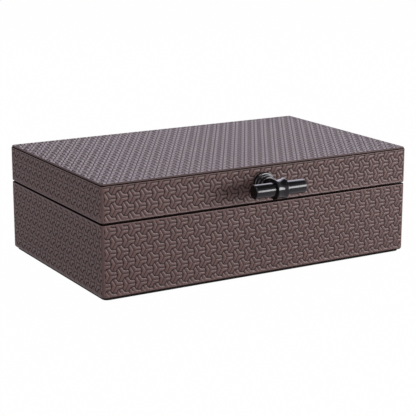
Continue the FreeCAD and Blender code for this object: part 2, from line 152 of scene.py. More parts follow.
class EmbossSettings(bpy.types.PropertyGroup):
    """Pattern pressed into the leather."""

    pitch: FloatProperty(name="Pitch", description="Distance between tiles along a row",
                         default=0.0116, min=0.004, unit="LENGTH")
    row_pitch: FloatProperty(name="Row pitch", description="Distance between rows of tiles",
                             default=0.00965, min=0.004, unit="LENGTH")
    groove: FloatProperty(name="Groove", description="Depth of the grooves round the tiles",
                          default=0.00066, min=0.0, unit="LENGTH")
    line: FloatProperty(name="Line", description="Depth of the lines along the arms of a tile",
                        default=0.0006, min=0.0, unit="LENGTH")
    arm: FloatProperty(name="Arm", description="How far an arm reaches into the next tile, in pitches",
                       default=0.14, min=0.0, max=0.2, subtype="FACTOR")
    fade: FloatProperty(name="Fade", description="Width of the smoothed leather beside an edge",
                        default=0.0010, min=0.0, unit="LENGTH")


class LeatherSettings(bpy.types.PropertyGroup):
    """Colour and finish of the leather, and the colours of its painted shade."""

    colour: FloatVectorProperty(name="Leather", description="Colour of the raised leather",
                                default=(0.120, 0.070, 0.0655), size=3, min=0.0, max=1.0, subtype="COLOR")
    # Painted shade: the bottom of the grooves is darkened for the shade that falls in them
    groove_shade_colour: FloatVectorProperty(name="Grooves", description="Colour at the bottom of the grooves",
                                       default=(0.0095, 0.0037, 0.0032), size=3, min=0.0, max=1.0,
                                       subtype="COLOR")
    # Painted shade: near-black colour in the seams, at the foot and in the groove under the top panel, where
    # shade falls
    seam_shade_colour: FloatVectorProperty(name="Edges", description="Colour of the painted edges in the seams",
                                     default=(0.004, 0.002, 0.0015), size=3, min=0.0, max=1.0,
                                     subtype="COLOR")
    roughness: FloatProperty(name="Roughness", description="Roughness of the raised leather",
                             default=0.33, min=0.0, max=1.0, subtype="FACTOR")


class LiningSettings(bpy.types.PropertyGroup):
    """Suede inside the box."""

    colour: FloatVectorProperty(name="Suede", description="Colour of the suede lining",
                                default=(0.075, 0.055, 0.05), size=3, min=0.0, max=1.0, subtype="COLOR")
    crown: FloatProperty(name="Crown", description="How much higher a pad is in its middle than at its edge",
                         default=0.0012, min=0.0, unit="LENGTH")


class MetalSettings(bpy.types.PropertyGroup):
    """Finishes of the knob and the hinges."""

    knob_colour: FloatVectorProperty(name="Knob", description="Colour of the knob's paint",
                                     default=(0.003, 0.003, 0.0035), size=3, min=0.0, max=1.0,
                                     subtype="COLOR")
    knob_roughness: FloatProperty(name="Knob roughness", description="Roughness of the knob's paint",
                                  default=0.14, min=0.0, max=1.0, subtype="FACTOR")
    hinge_colour: FloatVectorProperty(name="Hinges", description="Colour of the hinges' metal",
                                      default=(0.36, 0.34, 0.32), size=3, min=0.0, max=1.0,
                                      subtype="COLOR")
    segments: IntProperty(name="Segments", description="Flats round each turned piece of the knob",
                          default=96, min=24)


class StudioSettings(bpy.types.PropertyGroup):
    """Camera, lamps and floor."""

    camera_place: FloatVectorProperty(name="Camera", description="Where the camera stands",
                                      default=(-0.6276, -1.0776, 0.3514), size=3, subtype="XYZ",
                                      unit="LENGTH")
    camera_turn: FloatVectorProperty(name="Camera turn", description="Rotation of the camera",
                                     default=(math.radians(76.03), 0.0, math.radians(-30.24)), size=3,
                                     subtype="EULER")
    lens: FloatProperty(name="Lens", description="Focal length of the camera, in millimetres",
                        default=115.6, min=10.0)
    key: FloatProperty(name="Key lamp", description="Power of the low main lamp in front", default=29.2,
                       min=0.0, unit="POWER")
    fill: FloatProperty(name="Fill lamp", description="Power of the lamp on the left", default=9.2,
                        min=0.0, unit="POWER")
    top: FloatProperty(name="Top lamp", description="Power of the small lamp above on the left", default=4.5,
                       min=0.0, unit="POWER")
    back: FloatProperty(name="Back lamp", description="Power of the lamp above and behind", default=16.4,
                        min=0.0, unit="POWER")
    ambient: FloatProperty(name="Ambient", description="Even light from all round", default=0.16, min=0.0)


# Meshes

def make_mesh(name, verts, faces, relief=None):
    """A smooth closed mesh object from points in millimetres, with its faces turned outward."""
    mesh = bpy.data.meshes.new(name)
    mesh.from_pydata((np.asarray(verts, float) * MM).tolist(), [], faces)
    if relief is not None:
        layer = mesh.attributes.new("relief", "FLOAT", "POINT")
        layer.data.foreach_set("value", np.asarray(relief, np.float32))
    work = bmesh.new()
    work.from_mesh(mesh)
    bmesh.ops.recalc_face_normals(work, faces=work.faces)
    work.to_mesh(mesh)
    work.free()
    mesh.shade_smooth()
    piece = bpy.data.objects.new(name, mesh)
    bpy.context.scene.collection.objects.link(piece)
    return piece


def even_tops(piece):
    """Lets the broad faces of embossed leather set its shading, so that tiles look flat between grooves."""
    evener = piece.modifiers.new("even_tops", "WEIGHTED_NORMAL")
    evener.mode = "FACE_AREA"
    evener.weight = TOPS_WEIGHT
    return piece


def dress(piece, body, slot, material, *nodes):
    """Gives a new piece its body and material, and lets it stand for its CAD nodes. slot is not used."""
    piece.data.materials.append(material)
    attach(piece, body)
    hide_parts(*nodes)


def paint(material, *nodes):
    """Gives CAD nodes that stay in view a material."""
    for name in nodes:
        mesh = NODES[name].data
        mesh.materials.clear()
        mesh.materials.append(material)


def smooth_step(low, high, value):
    """0 below low, 1 above high, and an even bend between them."""
    share = np.clip((value - low) / (high - low), 0.0, 1.0)
    return share * share * (3.0 - 2.0 * share)


# Emboss

def side_point(side, along, swell):
    """A point on one of a tile's six sides. Even sides end arms, odd ones take the next tile's arm."""
    angle = math.radians(60.0 * side)
    outward = np.array((math.cos(angle), math.sin(angle)))
    sideways = np.array((-math.sin(angle), math.cos(angle)))
    reach = swell * (1.0 - abs(along) ** SWELL_POWER)
    if side % 2:
        reach = -reach
    return outward * (0.5 + reach) + sideways * along * TILE_SIDE_HALF


def tile_lobe(side, swell):
    """A grid of points over the part of a tile between two arms, from its middle line to its groove."""
    along = [-s for s in reversed(TILE_ACROSS[1:])] + list(TILE_ACROSS)
    first_end = side_point(side - 1, 0.0, swell)
    last_end = side_point(side + 1, 0.0, swell)
    first_corner = side_point(side, -1.0, swell)
    last_corner = side_point(side, 1.0, swell)
    rows = []
    for s in TILE_ACROSS:
        near = side_point(side - 1, s, swell)
        far = side_point(side + 1, -s, swell)
        row = []
        for a in along:
            t = (a + 1.0) / 2.0
            inner = first_end * max(0.0, -a) + last_end * max(0.0, a)
            outer = side_point(side, a, swell)
            corners = (first_end * (1 - s) * (1 - t) + first_corner * s * (1 - t)
                       + last_end * (1 - s) * t + last_corner * s * t)
            row.append(inner * (1 - s) + outer * s + near * (1 - t) + far * t - corners)
        rows.append(row)
    return rows


def tile_heights(groove, line):
    """Heights of a lobe's grid of points: a deep groove outside, a thin line inside, a flat top between."""
    across = len(TILE_ACROSS)
    along = 2 * across - 1
    heights = np.zeros((across, along))
    heights[0, :] = -line
    heights[1, :] = -line * LINE_SHOULDER
    heights[-2, :] = -groove * SHOULDER_SHARE
    heights[:, 1] = np.minimum(heights[:, 1], -groove * SHOULDER_SHARE)
    heights[:, -2] = np.minimum(heights[:, -2], -groove * SHOULDER_SHARE)
    heights[-1, :] = -groove
    heights[:, 0] = -groove
    heights[:, -1] = -groove
    return heights


def tile(settings):
    """Points (along, up, height) and faces of one tile about its middle."""
    pitch = settings.pitch / MM
    stretch = settings.row_pitch / MM / TILE_ROW
    heights = tile_heights(settings.groove / MM, settings.line / MM)
    points, faces = [], []
    for side in (1, 3, 5):
        lobe = tile_lobe(side, settings.arm)
        start = len(points)
        wide = len(lobe[0])
        for i, row in enumerate(lobe):
            for j, point in enumerate(row):
                points.append((point[0] * pitch, point[1] * stretch, heights[i, j]))
        for i in range(len(lobe) - 1):
            for j in range(wide - 1):
                corner = start + i * wide + j
                faces.append((corner, corner + 1, corner + wide + 1, corner + wide))
    return np.array(points), np.array(faces)


def tile_field(settings, pitch, columns, rows, first):
    """Points and faces of rows of tiles. first is the middle of one tile, and every second row is shifted."""
    points, faces = tile(settings)
    points[:, 0] *= pitch / (settings.pitch / MM)
    step = settings.row_pitch / MM
    all_points, all_faces = [], []
    for count, (row, column) in enumerate((r, c) for r in rows for c in columns):
        middle = (first[0] + (column + 0.5 * (row % 2)) * pitch, first[1] + row * step, 0.0)
        all_points.append(points + middle)
        all_faces.append(faces + count * len(points))
    return np.concatenate(all_points), np.concatenate(all_faces)


def put_on_line(verts, axis, place):
    """Moves points that lie very near a cutting line on to it, so that the cut leaves no slivers."""
    for vert in verts:
        if abs(vert.co[axis] - place) < CUT_SNAP:
            vert.co[axis] = place


def plane(axis, place, way):
    """A cutting plane across an axis that faces one way, as bisect_plane takes it."""
    origin, normal = Vector((0, 0, 0)), Vector((0, 0, 0))
    origin[axis] = place
    normal[axis] = way
    return {"plane_co": origin, "plane_no": normal, "dist": CUT_LIMIT}


def cut_field(points, faces, clips, cuts):
    """Trims a field of tiles to a band or a rectangle, and cuts its faces along lines.

    clips are (axis, place, side to keep). cuts are (axis, places, reach), made only near their places.
    """
    mesh = bpy.data.meshes.new("field")
    mesh.from_pydata(points.tolist(), [], faces.tolist())
    work = bmesh.new()
    work.from_mesh(mesh)
    bpy.data.meshes.remove(mesh)
    for axis, place, keep in clips:
        put_on_line(work.verts, axis, place)
        geometry = work.verts[:] + work.edges[:] + work.faces[:]
        bmesh.ops.bisect_plane(work, geom=geometry, clear_outer=True, **plane(axis, place, -keep))
    for axis, places, reach in cuts:
        low, high = min(places) - reach, max(places) + reach
        near = [f for f in work.faces if low < f.calc_center_median()[axis] < high]
        geometry = list(dict.fromkeys(e for f in near for e in f.edges)) + near
        geometry += list(dict.fromkeys(v for f in near for v in f.verts))
        for place in places:
            put_on_line([v for v in geometry if isinstance(v, bmesh.types.BMVert)], axis, place)
            result = bmesh.ops.bisect_plane(work, geom=geometry, **plane(axis, place, 1.0))
            geometry = result["geom"]
    for axis, place, _ in clips:
        put_on_line(work.verts, axis, place)
    return mesh_arrays(work)


def mesh_arrays(work):
    """Points and faces of a working mesh, which is freed."""
    work.verts.index_update()
    points = np.array([v.co for v in work.verts])
    faces = [[v.index for v in f.verts] for f in work.faces]
    work.free()
    return points, faces


def merged(points, faces, *values):
    """Points in the same place joined into one, with the values of each kept."""
    mesh = bpy.data.meshes.new("merge")
    mesh.from_pydata(np.asarray(points).tolist(), [], faces)
    for i, value in enumerate(values):
        layer = mesh.attributes.new(f"value_{i}", "FLOAT", "POINT")
        layer.data.foreach_set("value", np.asarray(value, np.float32))
    work = bmesh.new()
    work.from_mesh(mesh)
    bmesh.ops.remove_doubles(work, verts=work.verts, dist=MERGE)
    work.to_mesh(mesh)
    kept = []
    for i in range(len(values)):
        data = np.zeros(len(mesh.vertices), np.float32)
        mesh.attributes[f"value_{i}"].data.foreach_get("value", data)
        kept.append(data.astype(float))
    points, faces = mesh_arrays(work)
    bpy.data.meshes.remove(mesh)
    return (points, faces, *kept)


# Leather round the walls. A place on it is a distance round the box from the middle of the back, going
# left, front and right, a depth in from the outside, and a height.

STRAIGHT_X = HALF_WIDTH - CORNER_ROUND
STRAIGHT_Y = HALF_DEPTH - CORNER_ROUND
QUARTER = math.pi * CORNER_ROUND / 2
SPANS = (STRAIGHT_X, QUARTER, 2 * STRAIGHT_Y, QUARTER, 2 * STRAIGHT_X, QUARTER, 2 * STRAIGHT_Y, QUARTER,
         STRAIGHT_X)
STARTS = np.concatenate(((0.0,), np.cumsum(SPANS)))
GIRTH = STARTS[-1]
CORNER_SPANS = (1, 3, 5, 7)
FRONT_SPAN = 4
# Half of the plain strip along the middle of a corner
CORNER_PLAIN = QUARTER / 6


def squeezed(along, straight, reach):
    """A place along a straight side, drawn in near the corners so that it ends where a shorter side ends."""
    still = straight - CORNER_SQUEEZE
    past = np.abs(along) - still
    inner = still + past * (reach - still) / CORNER_SQUEEZE
    return np.where(past > 0, np.sign(along) * inner, along)


def wall_places(around, depth):
    """Plan positions of places round the walls at a depth."""
    around = np.mod(np.asarray(around, float), GIRTH)
    depth = np.broadcast_to(np.asarray(depth, float), around.shape)
    span = np.clip(np.searchsorted(STARTS, around, side="right") - 1, 0, len(SPANS) - 1)
    local = around - STARTS[span]
    rounding = np.maximum(CORNER_ROUND - depth, LEAST_ROUND)
    reach_x = HALF_WIDTH - depth - rounding
    reach_y = HALF_DEPTH - depth - rounding
    x = np.zeros_like(around)
    y = np.zeros_like(around)
    back = HALF_DEPTH - depth
    side = HALF_WIDTH - depth
    # The two halves of the back, and the front
    for number, start, way in ((0, 0.0, -1.0), (8, STRAIGHT_X, -1.0), (FRONT_SPAN, -STRAIGHT_X, 1.0)):
        on = span == number
        x[on] = squeezed(start + way * local[on], STRAIGHT_X, reach_x[on])
        y[on] = -way * back[on]
    # The left and the right side
    for number, way in ((2, -1.0), (6, 1.0)):
        on = span == number
        y[on] = way * squeezed(local[on] - STRAIGHT_Y, STRAIGHT_Y, reach_y[on])
        x[on] = way * side[on]
    # The corners
    for number, turn, sx, sy in ((1, 90, -1, 1), (3, 180, -1, -1), (5, 270, 1, -1), (7, 0, 1, 1)):
        on = span == number
        angle = math.radians(turn) + local[on] / CORNER_ROUND
        x[on] = sx * reach_x[on] + rounding[on] * np.cos(angle)
        y[on] = sy * reach_y[on] + rounding[on] * np.sin(angle)
    return x, y


def corner_cuts():
    """Lines across the band at its upright corners."""
    steps = range(CORNER_STEPS + 1)
    return [(0, [STARTS[i] + QUARTER * k / CORNER_STEPS for k in steps], CUT_REACH) for i in CORNER_SPANS]


def hinge_cuts():
    """Lines across the band at the ends of the hinge leaves."""
    cuts = []
    for middle in (HINGE_MIDDLE, GIRTH - HINGE_MIDDLE):
        for way in (-1.0, 1.0):
            end = middle + way * LEAF_HALF_LENGTH
            cuts.append((0, [end, end + way * LEAF_WALL], CUT_REACH))
    return cuts


def joint_cuts():
    """Lines across the band at the joint of its two ends."""
    places = [-JOINT_HALF_WIDTH, -JOINT_INNER, JOINT_INNER, JOINT_HALF_WIDTH]
    return [(0, [middle + p for p in places], CUT_REACH) for middle in (0.0, GIRTH)]


def from_corner(around):
    """Distance along the leather to the nearest rounded corner, nothing on the middle of the corner."""
    around = np.mod(around, GIRTH)
    gaps = [np.abs(around - (STARTS[i] + QUARTER / 2)) - CORNER_PLAIN for i in CORNER_SPANS]
    return np.maximum(np.min(gaps, axis=0), 0.0)


def from_joint(around):
    """Distance along the leather to the joint at the back."""
    around = np.mod(around, GIRTH)
    return np.minimum(around, GIRTH - around)


def bend(turns):
    """At each angle of a quarter-round, the shares that it has come in and still has to go."""
    return [(1 - math.cos(math.radians(a)), 1 - math.sin(math.radians(a))) for a in turns]


def rim_path(rim, up):
    """From the outside over the rim, down the inside, and back under the leather. up is 1 for the base."""
    inside = 2 * LEATHER + WALL_BOARD
    leaf = HALF_DEPTH - LEAF_INNER_Y
    path = [(RIM_ROUND * gone, rim - up * RIM_ROUND * left) for gone, left in bend(RIM_TURNS)]
    # Rows where the painted shade on the rim ends
    path += [(RIM_SHADE_WIDTH, rim), (RIM_SHADE_WIDTH + RIM_SHADE_FADE, rim)]
    path += [(leaf - LEAF_WALL, rim), (leaf + LEAF_WALL, rim), (inside - RIM_INNER_ROUND, rim)]
    path += [(inside - RIM_INNER_ROUND * left, rim - up * RIM_INNER_ROUND * gone)
             for gone, left in bend(INNER_TURNS)]
    path += [(inside, rim - up * TURN_IN), (inside - LEATHER, rim - up * TURN_IN)]
    outer = len(path)
    path += [(inside - LEATHER, rim - up * LEATHER), (LEATHER, rim - up * LEATHER)]
    return path, outer


def closed_path(end, up, rounding, lip):
    """From the outside round the closed end and its lip, in under the board, and back under the leather."""
    path = [(rounding * gone, end + up * (rounding * left - lip)) for gone, left in bend(END_TURNS)]
    if lip:
        path += [(LIP_WIDTH, end - up * lip), (LIP_WIDTH, end)]
    path += [(TURN_UNDER, end), (TURN_UNDER, end + up * LEATHER)]
    inner = max(rounding - LEATHER, LEAST_ROUND)
    path += [(LEATHER + inner * gone, end + up * (LEATHER + inner * left))
             for gone, left in bend(UNDER_TURNS)]
    return path


def between(row, new):
    """Faces between two closed rows of as many points."""
    size = len(row)
    return [(row[i], row[(i + 1) % size], new[(i + 1) % size], new[i]) for i in range(size)]


def strip(loop, path, around, count):
    """Rows of points along a path from an edge of the leather, and the faces between them."""
    points, faces = [], []
    row = list(loop)
    size = len(loop)
    for depth, height in path:
        x, y = wall_places(around, depth)
        new = list(range(count, count + size))
        points.append(np.stack((x, y, np.full(size, height)), 1))
        faces += between(row, new)
        row = new
        count += size
    return np.concatenate(points), faces, row


def zipped(first, first_around, last, last_around):
    """Triangles between two closed rows of points that run round the box with different spacing."""
    faces = []
    i = j = 0
    n, m = len(first), len(last)
    while i < n or j < m:
        a = first_around[i + 1] if i + 1 < n else first_around[0] + GIRTH
        b = last_around[j + 1] if j + 1 < m else last_around[0] + GIRTH
        if j >= m or (i < n and a <= b):
            faces.append((first[i % n], first[(i + 1) % n], last[j % m]))
            i += 1
        else:
            faces.append((first[i % n], last[(j + 1) % m], last[j % m]))
            j += 1
    return faces


def wrap(name, settings, rim, end, end_round, first, extra_tiles=0, lip=0.0):
    """Leather round half of the box, embossed outside and turned in over the rim and the closed end."""
    up = 1.0 if rim > end else -1.0
    face_rim = rim - up * RIM_ROUND
    face_end = end + up * (end_round - lip)
    low, high = min(face_rim, face_end), max(face_rim, face_end)
    columns = round(GIRTH / (settings.pitch / MM)) + extra_tiles
    pitch = GIRTH / columns
    step = settings.row_pitch / MM
    rows = range(math.floor((low - first[1]) / step) - 1, math.ceil((high - first[1]) / step) + 2)
    points, faces = tile_field(settings, pitch, range(columns), rows, first)
    clips = [(1, low, 1.0), (1, high, -1.0)]
    cuts = corner_cuts() + hinge_cuts() + joint_cuts()
    cuts += [(axis, [place + GIRTH for place in places], reach) for axis, places, reach in cuts]
    points, faces = cut_field(points, faces, clips, cuts)

    around, height, relief = points[:, 0], points[:, 1], points[:, 2]
    fade = settings.fade / MM
    kept = smooth_step(RIM_PLAIN, fade, np.abs(height - face_rim))
    kept = kept * smooth_step(0.0, fade, from_corner(around))
    kept = kept * smooth_step(0.0, fade / END_FADE_PART, np.abs(height - face_end))
    relief = relief * kept
    joint = from_joint(around)
    seam = np.clip(1.0 - joint / JOINT_HALF_WIDTH, 0.0, 1.0)
    relief = np.minimum(relief, -JOINT_DEPTH * seam)
    x, y = wall_places(around, -relief)
    points = np.stack((x, y, height), 1)
    points, faces, around, relief, height = merged(points, faces, np.mod(around, GIRTH), relief, height)

    loops = {}
    for place in (face_rim, face_end):
        loop = np.nonzero(np.abs(height - place) < LOOP_LIMIT)[0]
        loops[place] = loop[np.argsort(around[loop])]
    rim_line, rim_outer = rim_path(rim, up)
    end_line = closed_path(end, up, end_round, lip)
    rim_loop, end_loop = loops[face_rim], loops[face_end]
    rim_points, rim_faces, rim_row = strip(rim_loop, rim_line, around[rim_loop], len(points))
    count = len(points) + len(rim_points)
    end_points, end_faces, end_row = strip(end_loop, end_line, around[end_loop], count)
    back = zipped(rim_row, around[rim_loop], end_row, around[end_loop])

    under = np.zeros(len(rim_points), bool)
    under[rim_outer * len(rim_loop):] = True
    under = np.concatenate((np.zeros(len(points), bool), under, np.zeros(len(end_points), bool)))
    all_points = np.concatenate((points, rim_points, end_points))
    all_points = with_leaf_recesses(all_points, under, rim, up)
    all_relief = np.ones(len(all_points))
    all_relief[:len(points)] = 1.0 + relief / (settings.groove / MM)
    # Painted shade: rows of the rim from RIM_DARK_FROM on, and rows of the closed end from END_DARK_FROM on
    # (the base's foot, the groove under the lid's top panel), are marked near black
    turned_in = len(points) + RIM_DARK_FROM * len(rim_loop)
    all_relief[turned_in:turned_in + RIM_DARK_ROWS * len(rim_loop)] = SHADE_RELIEF
    all_relief[len(points) + len(rim_points) + END_DARK_FROM * len(end_loop):] = SHADE_RELIEF
    return even_tops(make_mesh(name, all_points, faces + rim_faces + end_faces + back, all_relief))


def with_leaf_recesses(points, under, rim, up):
    """The leather cut down where the hinge leaves lie on the board of the rim."""
    points = points.copy()
    board = rim - up * LEAF_ROOM
    along = np.abs(np.abs(points[:, 0]) - HINGE_MIDDLE) < LEAF_HALF_LENGTH + LEAF_MARGIN
    inside = along & (points[:, 1] > LEAF_INNER_Y)
    high = inside & (up * (points[:, 2] - board) > 0)
    points[high & ~under, 2] = board
    near = inside & under & (up * (points[:, 2] - board) > -LEAF_UNDERSIDE)
    points[near, 2] = board - up * LEAF_UNDERSIDE
    return points


# Panels: a face with a path of rolled edges round it, and rounded corners in plan.

PANEL_STRETCH = 8.0
EDGE_LINES = (0.25, 0.5, 0.8, 1.2, 1.7, 2.3, 3.2, 4.4, 6.0)


def panel_lines(half, step):
    """Places of grid lines across a panel, closer together near its edges."""
    inner = half - EDGE_LINES[-1]
    count = max(2, round(2 * inner / step))
    middle = list(np.linspace(-inner, inner, count + 1))
    near = [half - e for e in reversed(EDGE_LINES[:-1])] + [half]
    return [-p for p in reversed(near)] + middle + near


def panel_grid(half_x, half_y, step, height):
    """Points and faces of a plain panel's face. height gives the height at each place."""
    xs, ys = panel_lines(half_x, step), panel_lines(half_y, step)
    grid_x, grid_y = np.meshgrid(xs, ys)
    points = np.stack((grid_x, grid_y, height(grid_x, grid_y)), -1).reshape(-1, 3)
    wide = len(xs)
    faces = [(i * wide + j, i * wide + j + 1, (i + 1) * wide + j + 1, (i + 1) * wide + j)
             for i in range(len(ys) - 1) for j in range(wide - 1)]
    return points, faces


def spread(place, half, outward):
    """Places along an edge, spread towards the corners as the edge moves outward."""
    still = half - PANEL_STRETCH
    past = np.clip(np.abs(place) - still, 0.0, None) / PANEL_STRETCH
    return place + np.sign(place) * past * outward


def round_corners(points, half_x, half_y, radius):
    """Bends square corners in plan into round ones."""
    points = points.copy()
    a = np.abs(points[:, 0]) - (half_x - radius)
    b = np.abs(points[:, 1]) - (half_y - radius)
    on = (a > TINY) & (b > TINY)
    big = np.maximum(a[on], b[on])
    angle = np.where(a[on] >= b[on], math.pi / 4 * b[on] / big, math.pi / 2 - math.pi / 4 * a[on] / big)
    points[on, 0] = np.sign(points[on, 0]) * (half_x - radius + big * np.cos(angle))
    points[on, 1] = np.sign(points[on, 1]) * (half_y - radius + big * np.sin(angle))
    return points


def on_edge(place, half):
    """Whether places lie on either of two opposite edges."""
    return np.abs(np.abs(place) - half) < EDGE_LIMIT


def edge_ring(points, half_x, half_y):
    """The points on a panel's edge, in order round it from the front left corner."""
    ring = np.nonzero(on_edge(points[:, 0], half_x) | on_edge(points[:, 1], half_y))[0]
    x, y = points[ring, 0], points[ring, 1]
    front = np.abs(y + half_y) < EDGE_LIMIT
    right = np.abs(x - half_x) < EDGE_LIMIT
    back = np.abs(y - half_y) < EDGE_LIMIT
    places = (x + half_x, 2 * half_x + y + half_y, 2 * half_x + 2 * half_y + half_x - x)
    on_left = 4 * half_x + 2 * half_y + half_y - y
    return ring[np.argsort(np.select((front, right, back), places, on_left))]


def rolled_panel(points, faces, half_x, half_y, path, radius):
    """A panel from its face and a path (outward, height) for its edge, closed by a flat underside."""
    points = np.asarray(points, float)
    ring = edge_ring(points, half_x, half_y)
    x, y = points[ring, 0], points[ring, 1]
    on_side_x, on_side_y = on_edge(x, half_x), on_edge(y, half_y)
    faces = list(faces)
    all_points = [points]
    row = list(ring)
    count = len(points)
    size = len(ring)
    for outward, height in path:
        new_x = np.where(on_side_x, x + np.sign(x) * outward, spread(x, half_x, outward))
        new_y = np.where(on_side_y, y + np.sign(y) * outward, spread(y, half_y, outward))
        all_points.append(np.stack((new_x, new_y, np.full(size, height)), 1))
        new = list(range(count, count + size))
        faces += between(row, new)
        row = new
        count += size
    faces.append(row)
    points = np.concatenate(all_points)
    most = max(outward for outward, _ in path)
    return round_corners(points, half_x + most, half_y + most, radius), faces


def roll(width, height, top):
    """Points of an edge that rolls outward by a width and down by a height."""
    turns = [math.radians(a) for a in ROLL_TURNS]
    return [(width * math.sin(a), top - height * (1 - math.cos(a))) for a in turns]


# Materials

TONE_RANGE = (0.3, 0.7)
PATCH_RANGE = (0.35, 0.7)
CREASE_WIDTH = 0.22
BROAD_SHARE = 0.035
RUBBED_FACTOR = 1.5


class Shader:
    """A material's node tree with short ways to add and join nodes."""

    def __init__(self, tree):
        self.tree = tree

    def add(self, kind, inputs=None, **settings):
        """A node with some of its settings, and of its inputs as values or as sockets to join."""
        node = self.tree.nodes.new(kind)
        for key, value in settings.items():
            setattr(node, key, value)
        self.fill(node, inputs or {})
        return node

    def fill(self, node, inputs):
        """Sets several inputs of a node."""
        for key, value in inputs.items():
            self.put(node.inputs[key], value)

    def put(self, socket, value):
        """Sets an input, or joins another node's output to it."""
        if isinstance(value, bpy.types.NodeSocket):
            self.tree.links.new(value, socket)
        else:
            socket.default_value = value

    def place(self):
        """The object's own coordinates."""
        return self.add("ShaderNodeTexCoord").outputs["Object"]

    def maths(self, operation, first, second):
        """The result of a sum."""
        return self.add("ShaderNodeMath", {0: first, 1: second}, operation=operation).outputs[0]

    def mixed(self, share, first, second, blend="MIX"):
        """A blend of two colours, which are the node's inputs 6 and 7, and its output 2."""
        inputs = {"Factor": share, 6: first, 7: second}
        return self.add("ShaderNodeMix", inputs, data_type="RGBA", blend_type=blend).outputs[2]

    def shaded(self, base, shade):
        """A colour made lighter or darker by a value."""
        return self.mixed(1.0, colour(base), shade, "MULTIPLY")

    def ranged(self, value, low, high, new_low=0.0, new_high=1.0):
        """A value carried from one range to another, and kept inside it."""
        node = self.add("ShaderNodeMapRange", {"Value": value, "From Min": low, "From Max": high,
                                               "To Min": new_low, "To Max": new_high})
        return node.outputs["Result"]

    def toned(self, grained, low, high):
        """The tone of a grain, carried to a range."""
        return self.ranged(grained.outputs["Tone"], *TONE_RANGE, low, high)

    def noise(self, vector, scale, detail, distortion=0.0):
        """Soft noise between 0 and 1."""
        node = self.add("ShaderNodeTexNoise", {"Vector": vector, "Scale": scale, "Detail": detail,
                                               "Distortion": distortion})
        return node.outputs["Fac"]

    def grain(self, vector, scale, crease):
        """The shared fine grain, placed in this material."""
        group = shared("Fine grain", grain_effect)
        inputs = {"Vector": vector, "Scale": scale, "Crease": crease}
        return self.add("ShaderNodeGroup", inputs, node_tree=group)

    def wear(self, vector, start, full, scale, share):
        """The shared edge wear, placed in this material, as a mask that goes up to a share."""
        group = shared("Edge wear", wear_effect)
        inputs = {"Vector": vector, "Start": start, "Full": full, "Scale": scale}
        node = self.add("ShaderNodeGroup", inputs, node_tree=group)
        return self.maths("MULTIPLY", node.outputs["Mask"], share)

    def bump(self, surface, grained, strength, distance):
        """Gives a surface the fine relief of a grain."""
        node = self.add("ShaderNodeBump", {"Strength": strength, "Distance": distance,
                                           "Height": grained.outputs["Height"]})
        self.put(surface.inputs["Normal"], node.outputs["Normal"])


def shared(name, make):
    """A node group that is made once."""
    return bpy.data.node_groups.get(name) or make(name)


def effect(name, values, outputs):
    """A new shader node group that takes a vector and some values, with its inner start and end."""
    group = bpy.data.node_groups.new(name, "ShaderNodeTree")
    group.interface.new_socket("Vector", in_out="INPUT", socket_type="NodeSocketVector")
    for key, value in values.items():
        socket = group.interface.new_socket(key, in_out="INPUT", socket_type="NodeSocketFloat")
        socket.default_value = value
    for key in outputs:
        group.interface.new_socket(key, in_out="OUTPUT", socket_type="NodeSocketFloat")
    shader = Shader(group)
    return group, shader, shader.add("NodeGroupInput").outputs, shader.add("NodeGroupOutput").inputs


def grain_effect(name):
    """Pores and creases of a fine skin, nap or fibre: a height for bump and a tone for colour."""
    group, shader, given, result = effect(name, {"Scale": 1500.0, "Crease": 0.5}, ("Height", "Tone"))
    cells = shader.add("ShaderNodeTexVoronoi", {"Vector": given["Vector"], "Scale": given["Scale"]},
                       feature="DISTANCE_TO_EDGE")
    creases = shader.ranged(cells.outputs["Distance"], 0.0, CREASE_WIDTH)
    creased = shader.maths("MULTIPLY", creases, given["Crease"])
    fine = shader.noise(given["Vector"], given["Scale"], detail=3.0)
    shader.put(result["Height"], shader.maths("ADD", creased, fine))
    broad_scale = shader.maths("MULTIPLY", given["Scale"], BROAD_SHARE)
    broad = shader.noise(given["Vector"], broad_scale, detail=4.0)
    halves = [shader.maths("MULTIPLY", noise, 0.5) for noise in (fine, broad)]
    shader.put(result["Tone"], shader.maths("ADD", *halves))
    return group


def wear_effect(name):
    """A broken mask along sharp edges, where a finish is rubbed."""
    group, shader, given, result = effect(name, {"Start": 0.52, "Full": 0.62, "Scale": 160.0}, ("Mask",))
    sharp = shader.add("ShaderNodeNewGeometry").outputs["Pointiness"]
    edge = shader.ranged(sharp, given["Start"], given["Full"])
    patches = shader.noise(given["Vector"], given["Scale"], detail=5.0)
    broken = shader.ranged(patches, *PATCH_RANGE)
    shader.put(result["Mask"], shader.maths("MULTIPLY", edge, broken))
    return group


def new_material(name):
    """A material with its node helper and its Principled shader."""
    material = bpy.data.materials.new(name)
    material.use_nodes = True
    shader = Shader(material.node_tree)
    return material, shader, material.node_tree.nodes["Principled BSDF"]


def colour(values, factor=1.0):
    """A colour with full alpha, lighter or darker by a factor."""
    return (*[v * factor for v in values], 1.0)


